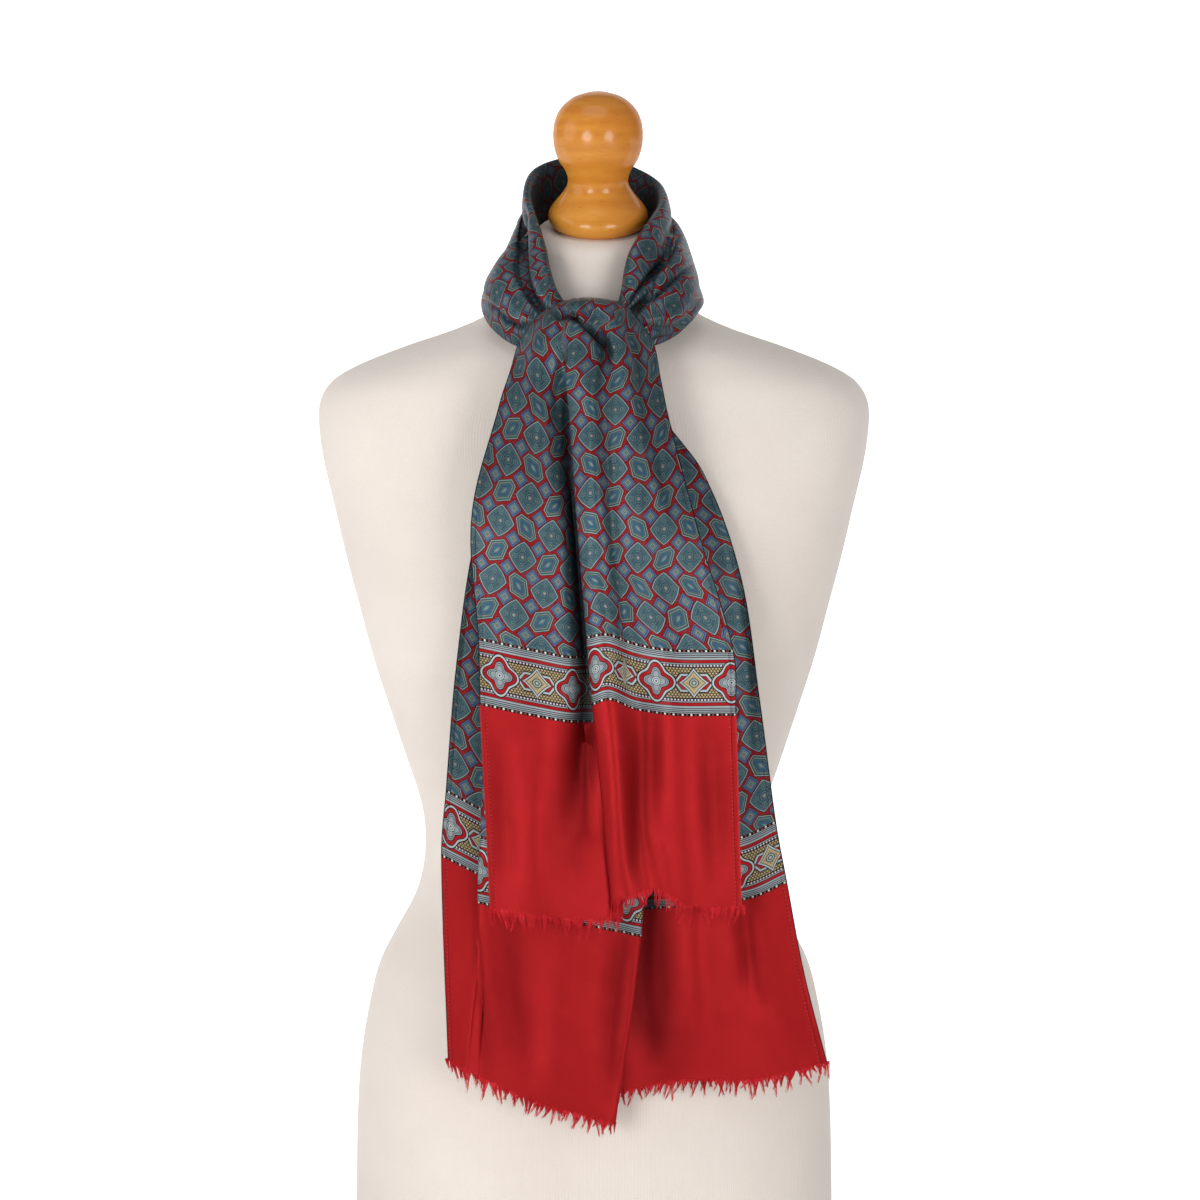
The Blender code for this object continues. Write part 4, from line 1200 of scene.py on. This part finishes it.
loop_silk = printed_silk("printed_silk_loop", 253.0, tint(34, 36, 44))
stations = even_runs(0.0, len(LOOP_PATH) - 1.0, LOOP_STEP)
loop_grid = [loop_section(station) for station in stations]
loop_normals = cloth_normals(loop_grid)
creases = [(depth, width, [(station * STATION_APART, row * ROW_APART) for station, row in places])
           for depth, width, places in LOOP_BACK_CREASES]
hollows, loop_wrong_and_shade = [], []
for station, line, ways in zip(stations, loop_grid, loop_normals):
    ahead = 1 - held(station - AHEAD_UP_TO) * held(AHEAD_FROM - station)
    behind = held(station - BEHIND_FROM) * held(BEHIND_UP_TO - station)
    hollows.append([0.0] * len(line))
    # painted shade: the inner face at the back is darkened, as wrong side and as shade
    loop_wrong_and_shade.append([(behind if j / LOOP_ROUND < INNER_UP_TO else 0.0, 1.0)
                       for j in range(len(line))])
    for j, (point, way) in enumerate(zip(line, ways)):
        row = j / LOOP_ROUND
        depth = ripple(point)
        if row > OUTER_FROM:
            depth += crease_depth(station * STATION_APART, row * ROW_APART, creases)
            depth += ahead * crease_depth(point.x, point.z, LOOP_FRONT_CREASES) * held(
                (FACING - way.y) * FACING_GAIN)
            # painted shade: the crease depth here darkens the loop's colour in its folds
            hollows[-1][j] = max(depth, 0.0)
        line[j] = point - way * depth
loop_across = [[LOOP_ACROSS + place * LOOP_PACK for place in arc_lengths(line)]
               for line in loop_grid]
outer = round(OUTER_PLACE * LOOP_ROUND)
loop_along = [[LOOP_ALONG + place * LOOP_PACK] * len(line)
              for place, line in zip(arc_lengths([line[outer] for line in loop_grid]), loop_grid)]
loop_sheet = (loop_grid, cloth_normals(loop_grid), hollows, loop_across, loop_along,
              [[LOOP_EDGE] * len(line) for line in loop_grid])
left_row = min(range(len(stations)), key=lambda i: abs(stations[i] - LEFT_END))
right_row = min(range(len(stations)), key=lambda i: abs(stations[i] - RIGHT_START))
for name, node, start, end in (("loop_left", "wrap_left", 0, left_row),
                               ("loop_back", "wrap_back", left_row, right_row),
                               ("loop_right", "wrap_right", right_row, len(stations) - 1)):
    part = slice(start, end + 1)
    cloth = cloth_piece(name, part, loop_sheet, loop_silk, loop_wrong_and_shade, hems=False)
    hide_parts(node)
    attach(cloth, "root")
    folded = sum(arc_lengths(row)[-1] for row in loop_grid[part]) / (end + 1 - start)
    shown = arc_lengths([row[INNER_ROW * LOOP_ROUND] for row in loop_grid[part]])[-1]

# ================================================================ scarf: frayed ends
# Both ends are left raw and the weft is drawn out for a centimetre or so, so that the warp
# stands free in uneven locks of fine red silk, bent, tapered and partly crossing.
LOCK_PITCH, LOCK_SHIFT = 2.7, 0.7     # from one lock to the next, and how unevenly
LOCK_THREADS, LOCK_SHAPES, LOCK_SEED = 8, 4, 40
LOCK_CURL, LOCK_SWAY, LOCK_STRAY = 3.2, 1.2, 0.6     # at most: of a lock's tip, and of a thread
SHORTEST, LONGEST = 7.0, 17.0            # locks, from the cloth's end
LOCK_THREAD, LOCK_LEAN = 0.4, 0.35       # a thread's radius, and how far a lock may lean aside
ROOT = 0.8                   # how far a lock starts inside the cloth


def frayed_silk():
    material, recipe, shader = start_finish("frayed_red_silk", 0.5, Metallic=0.2,
                                            Specular_IOR_Level=0.2)
    place = recipe.place()
    lock = recipe.noise(place, 90.0, 1.0)
    strand = recipe.noise(place, 900.0, 1.0)
    colour = recipe.shades(lock * 0.6 + strand * 0.4, (0.3, tint(160, 16, 26)),
                           (0.5, tint(200, 26, 36)), (0.75, tint(222, 52, 60)))
    bump = recipe.bump(0.2, 0.0001, strand)
    join(recipe, shader, Base_Color=colour, Normal=bump)
    return material


def open_tree(name, inputs):
    """A new tree with its named inputs, and what each one holds and is known by."""
    tree = bpy.data.node_groups.new(name, "GeometryNodeTree")
    tree.interface.new_socket("Geometry", in_out="OUTPUT", socket_type="NodeSocketGeometry")
    tree.interface.new_socket("Geometry", in_out="INPUT", socket_type="NodeSocketGeometry")
    identifiers = {}
    for name, kind in inputs.items():
        socket = tree.interface.new_socket(name, in_out="INPUT", socket_type="NodeSocket" + kind)
        identifiers[name] = socket.identifier
    recipe = Recipe(tree)
    entry = tree.nodes.new("NodeGroupInput")
    return recipe, {socket.name: Value(recipe, socket) for socket in entry.outputs}, identifiers


def close_tree(recipe, instances, material):
    """End a tree in Realize Instances and Set Material."""
    real = recipe.node("GeometryNodeRealizeInstances", {}, {"Geometry": instances})
    dressed = recipe.node("GeometryNodeSetMaterial", {}, {"Geometry": real,
                                                          "Material": material})
    leave = recipe.tree.nodes.new("NodeGroupOutput")
    recipe.tree.links.new(dressed.socket, leave.inputs[0])


def joined(recipe, parts):
    """Several pieces of geometry as one."""
    together = recipe.tree.nodes.new("GeometryNodeJoinGeometry")
    for part in parts:
        recipe.tree.links.new(part.socket, together.inputs[0])
    return Value(recipe, together.outputs[0])


def stance_of(recipe, axes, names):
    """A rotation whose two axes follow the directions stored at each point."""
    ways = [recipe.node("GeometryNodeInputNamedAttribute", {"data_type": "FLOAT_VECTOR"},
                        {"Name": name}) for name in names]
    return recipe.node("FunctionNodeAxesToRotation",
                       {"primary_axis": axes[0], "secondary_axis": axes[1]},
                       {"Primary Axis": ways[0], "Secondary Axis": ways[1]})


def turned(recipe, stance, axis, angle):
    """A rotation, turned further about an axis of its own."""
    turn = recipe.node("FunctionNodeAxisAngleToRotation", {}, {"Axis": axis, "Angle": angle})
    return recipe.node("FunctionNodeRotateRotation", {"rotation_space": "LOCAL"},
                       {"Rotation": stance, "Rotate By": turn})


def random_between(recipe, low, high, who, seed):
    """A random number for each index, from low to high."""
    return recipe.node("FunctionNodeRandomValue", {"data_type": "FLOAT"},
                       {2: low, 3: high, "ID": who, "Seed": seed}, output=1)


def lock_shape(recipe, given, shape):
    """One lock of threads 1 high: spread at the root, soon drawn together, curling aside."""
    rng = random.Random(LOCK_SEED + shape)
    curl = rng.uniform(-LOCK_CURL, LOCK_CURL) * MM
    sway = rng.uniform(-LOCK_SWAY, LOCK_SWAY) * MM
    curves = []
    for thread in range(LOCK_THREADS):
        aside = (thread / (LOCK_THREADS - 1) - 0.5) * LOCK_PITCH * 1.25 * MM
        stray = rng.uniform(-LOCK_STRAY, LOCK_STRAY) * MM
        curves.append(recipe.node("GeometryNodeCurveQuadraticBezier", {}, {
            "Resolution": 6, "Start": (aside, 0, 0),
            "Middle": (aside * 0.1 - curl * 0.35 + stray, sway * 0.4, rng.uniform(0.4, 0.6)),
            "End": (aside * 0.15 + curl + stray, sway, rng.uniform(0.72, 1.0))}))
    factor = recipe.node("GeometryNodeSplineParameter")
    circle = recipe.node("GeometryNodeCurvePrimitiveCircle", {},
                         {"Resolution": 3, "Radius": given["Thread radius"]})
    return recipe.node("GeometryNodeCurveToMesh", {},
                       {"Curve": joined(recipe, curves), "Profile Curve": circle,
                        "Scale": 1.0 - factor * 0.75, "Fill Caps": True})


def fringe_tree():
    """Hang a lock of one of a few shapes from every point, of its own length and lean."""
    recipe, given, identifiers = open_tree("frayed_locks", {
        "Shortest": "Float", "Longest": "Float", "Thread radius": "Float",
        "Most lean": "Float", "Seed": "Int", "Silk": "Material"})
    index = recipe.node("GeometryNodeInputIndex")
    stance = stance_of(recipe, "ZX", ("fall", "course"))
    lean = random_between(recipe, -1.0, 1.0, index, 11) * given["Most lean"]
    stance = turned(recipe, stance, (0, 1, 0), lean)
    stance = turned(recipe, stance, (1, 0, 0), random_between(recipe, -0.16, 0.16, index, 17))
    stance = turned(recipe, stance, (0, 0, 1), random_between(recipe, -0.5, 0.5, index, 23))
    reach = random_between(recipe, given["Shortest"], given["Longest"], index, given["Seed"])
    size = recipe.node("ShaderNodeCombineXYZ", {}, {"X": 1.0, "Y": 1.0, "Z": reach})
    pick = recipe.maths("FLOOR", random_between(recipe, 0.0, LOCK_SHAPES - 0.01, index, 29))
    locks = [recipe.node("GeometryNodeInstanceOnPoints", {},
                         {"Points": given["Geometry"],
                          "Selection": recipe.maths("COMPARE", pick, shape, 0.1),
                          "Instance": lock_shape(recipe, given, shape),
                          "Rotation": stance, "Scale": size}) for shape in range(LOCK_SHAPES)]
    close_tree(recipe, joined(recipe, locks), given["Silk"])
    return recipe.tree, identifiers


def grow(name, places, arrows, tree, identifiers, settings):
    """Run a tree over loose points with their directions, and keep the result as a plain mesh."""
    mesh = bpy.data.meshes.new(name + "_points")
    mesh.from_pydata([tuple(place * MM) for place in places], [], [])
    for mark, vectors in arrows.items():
        data = mesh.attributes.new(mark, "FLOAT_VECTOR", "POINT").data
        data.foreach_set("vector", [value for vector in vectors for value in vector])
    base = stand(name + "_points", mesh)
    modifier = base.modifiers.new("growth", "NODES")
    modifier.node_group = tree
    for setting, value in settings.items():
        modifier[identifiers[setting]] = value
    grown = base.evaluated_get(bpy.context.evaluated_depsgraph_get())
    mesh = bpy.data.meshes.new_from_object(grown)
    mesh.name = name
    for mark in [layer.name for layer in mesh.attributes if layer.name in arrows]:
        mesh.attributes.remove(mesh.attributes[mark])
    mesh.shade_smooth()
    bpy.data.objects.remove(base, do_unlink=True)
    return stand(name, mesh)


def headings(line):
    """Which way a line of points runs at each of them."""
    return [(line[min(i + 1, len(line) - 1)] - line[max(i - 1, 0)]).normalized()
            for i in range(len(line))]


def evenly(line, pitch, *others):
    """Places at an even pitch along a line of points, and what other lines hold there."""
    lengths = arc_lengths(line)
    count = int(lengths[-1] / pitch)
    picked = [[] for _ in range(1 + len(others))]
    index = 0
    for step in range(count + 1):
        target = lengths[-1] * step / count
        while index < len(line) - 2 and lengths[index + 1] < target:
            index += 1
        share = (target - lengths[index]) / max(lengths[index + 1] - lengths[index], 1e-6)
        for kept, values in zip(picked, (line, *others)):
            kept.append(values[index].lerp(values[index + 1], share))
    return picked


red_threads = frayed_silk()
locks_tree, locks_inputs = fringe_tree()
fringes = {}
for name, node, grid, seed in (("front_fraying", "front_fringe", front_grid, 3),
                               ("back_fraying", "back_fringe", back_grid, 8)):
    hem, above = evenly(grid[0], LOCK_PITCH, grid[1])
    falls = [(low - high).normalized() for low, high in zip(hem, above)]
    courses = headings(hem)
    rng = random.Random(seed)
    roots = [place - fall * ROOT + course * rng.uniform(-LOCK_SHIFT, LOCK_SHIFT)
             for place, fall, course in zip(hem, falls, courses)]
    fringes[name] = grow(name, roots, {"fall": falls, "course": courses}, locks_tree,
                         locks_inputs, {"Shortest": SHORTEST * MM, "Longest": LONGEST * MM,
                                        "Thread radius": LOCK_THREAD * MM,
                                        "Most lean": LOCK_LEAN, "Seed": seed,
                                        "Silk": red_threads})
    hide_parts(node)
    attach(fringes[name], "root")

# ================================================================ scarf: hem stitching
# Both long edges are turned in by 4 mm and caught down by hand with small slanting stitches
# of pale thread, seen as a dotted line just inside each edge.
STITCH_PITCH, STITCH_LONG, STITCH_THICK, STITCH_SEED = 2.9, 1.3, 0.22, 4
STITCH_COLUMN = 4            # of the cloth's points, counted from either edge
STITCH_PROUD = 0.55          # of the cloth's thickness, from its middle


def hem_thread():
    material, recipe, shader = start_finish("hem_thread", 0.55, Sheen_Weight=0.2)
    twist = recipe.noise(recipe.place(), 1500.0, 1.0)
    colour = recipe.shades(twist, (0.3, tint(120, 58, 62)), (0.7, tint(176, 110, 108)))
    bump = recipe.bump(0.3, 0.0001, twist)
    join(recipe, shader, Base_Color=colour, Normal=bump)
    return material


def stitch_tree():
    """Lay one short rounded stitch on every point, slanted a little and unevenly."""
    recipe, given, identifiers = open_tree("hem_stitches", {
        "Stitch length": "Float", "Thread thickness": "Float", "Seed": "Int",
        "Thread": "Material"})
    index = recipe.node("GeometryNodeInputIndex")
    bead = recipe.node("GeometryNodeMeshUVSphere", {}, {"Segments": 6, "Rings": 4,
                                                        "Radius": 0.5})
    slant = random_between(recipe, 0.15, 0.6, index, given["Seed"])
    stance = turned(recipe, stance_of(recipe, "XZ", ("course", "facing")), (0, 0, 1), slant)
    long = given["Stitch length"] * random_between(recipe, 0.7, 1.1, index, 2)
    thick = given["Thread thickness"]
    size = recipe.node("ShaderNodeCombineXYZ", {}, {"X": long, "Y": thick, "Z": thick})
    stitches = recipe.node("GeometryNodeInstanceOnPoints", {},
                           {"Points": given["Geometry"], "Instance": bead, "Rotation": stance,
                            "Scale": size})
    close_tree(recipe, stitches, given["Thread"])
    return recipe.tree, identifiers


thread_finish = hem_thread()
stitches_tree, stitches_inputs = stitch_tree()
stitchings = {}
for name, grid, facings in (("front_stitching", front_grid, front_normals),
                            ("back_stitching", back_grid, back_normals)):
    places, courses, outward = [], [], []
    for column in (STITCH_COLUMN, len(grid[0]) - 1 - STITCH_COLUMN):
        line = [row[column] for row in grid]
        spots, normals = evenly(line, STITCH_PITCH, [row[column] for row in facings])
        sides = [-normal.normalized() for normal in normals]
        places += [spot + side * (SILK * STITCH_PROUD) for spot, side in zip(spots, sides)]
        courses += headings(spots)
        outward += sides
    stitchings[name] = grow(name, places, {"course": courses, "facing": outward},
                            stitches_tree, stitches_inputs,
                            {"Stitch length": STITCH_LONG * MM,
                             "Thread thickness": STITCH_THICK * MM, "Seed": STITCH_SEED,
                             "Thread": thread_finish})
    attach(stitchings[name], "root")

for cloth, width, length_shown, rests, going in (
        (front_cloth, CLOTH_WIDTH, FRONT_TOP, ["back_tail"],
         [fringes["front_fraying"], stitchings["front_stitching"]]),
        (knot_cloth, CROSSING_WIDTH, KNOT_END - FRONT_TOP, ["wrap_left", "wrap_right"], []),
        (back_cloth, CLOTH_WIDTH, BACK_TOP, ["form_body"],
         [fringes["back_fraying"], stitchings["back_stitching"]])):
    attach(cloth, "root")

# ================================================================ studio
# A plain white floor that curves up into a wall far behind, lit by itself behind the form, with two
# soft boxes in front, a broad light overhead and a broad soft light at the left.
SWEEP = ((-3.0, 0.0), (4.2, 0.0), (4.8, 0.1), (5.2, 0.5), (5.4, 1.2), (5.4, 5.0))  # metres
SWEEP_HALF, SWEEP_STEPS = 6.0, 8         # half its width, and the steps from point to point
SOFT_LIGHTS = (
    # name, place, what it is aimed at, width and height in metres, watts
    ("left_box", (-1.25, -2.3, 0.52), (0, 0, 0.52), 1.15, 1.15, 24.0),
    ("right_box", (1.25, -2.3, 0.52), (0, 0, 0.52), 1.15, 1.15, 20.0),
    ("left_wall", (-2.3, -0.5, 1.0), (0, 0, 0.5), 1.8, 1.8, 11.0),
    ("overhead", (-0.2, -0.6, 2.6), (0, 0.0, 0.4), 1.8, 1.4, 8.0),
)
ROOM_LIGHT = 0.29
VIEW_TARGET, VIEW_PLACE = (0.0044, 0.0, 0.49144), (0.0044, -3.16886, 0.93679)
LENS, FILM = 131.5, 36.0


def white_sweep():
    material, recipe, shader = start_finish("white_sweep", 0.9, Emission_Strength=0.85)
    place = recipe.place()
    grain = recipe.noise(place, 3.0)
    colour = recipe.shades(grain, (0.3, (0.90, 0.90, 0.90, 1.0)), (0.7, (0.92, 0.92, 0.92, 1.0)))
    glow = recipe.shades(recipe.part(place, 1), (0.02, (0.0, 0.0, 0.0, 1.0)),
                         (0.30, (1.0, 1.0, 1.0, 1.0)))
    join(recipe, shader, Base_Color=colour, Emission_Color=glow)
    return material


profile = spline([Vector((0, y, z)) for y, z in SWEEP], [SWEEP_STEPS] * (len(SWEEP) - 1))
verts = [Vector((x, point.y, point.z)) / MM for point in profile for x in (-SWEEP_HALF, SWEEP_HALF)]
faces = [(2 * i, 2 * i + 1, 2 * i + 3, 2 * i + 2) for i in range(len(profile) - 1)]
sweep = finish_mesh("studio_sweep", verts, faces, white_sweep())


def aimed(name, data, place, target):
    """A camera or light at a place, pointing at its target."""
    thing = stand(name, data)
    thing.location = place
    thing.rotation_euler = (Vector(target) - Vector(place)).to_track_quat("-Z", "Y").to_euler()
    return thing


camera = aimed("camera", bpy.data.cameras.new("camera"), VIEW_PLACE, VIEW_TARGET)
camera.data.sensor_width, camera.data.lens = FILM, LENS
bpy.context.scene.camera = camera
for name, place, target, wide, high, power in SOFT_LIGHTS:
    light = bpy.data.lights.new(name, "AREA")
    light.shape, light.size, light.size_y, light.energy = "ELLIPSE", wide, high, power
    aimed(name, light, place, target)

world = bpy.data.worlds.new("studio")
world.use_nodes = True
room = world.node_tree.nodes["Background"].inputs
room["Color"].default_value = (1.0, 1.0, 1.0, 1.0)
room["Strength"].default_value = ROOM_LIGHT
bpy.context.scene.world = world
bpy.context.scene.view_settings.view_transform = "Standard"
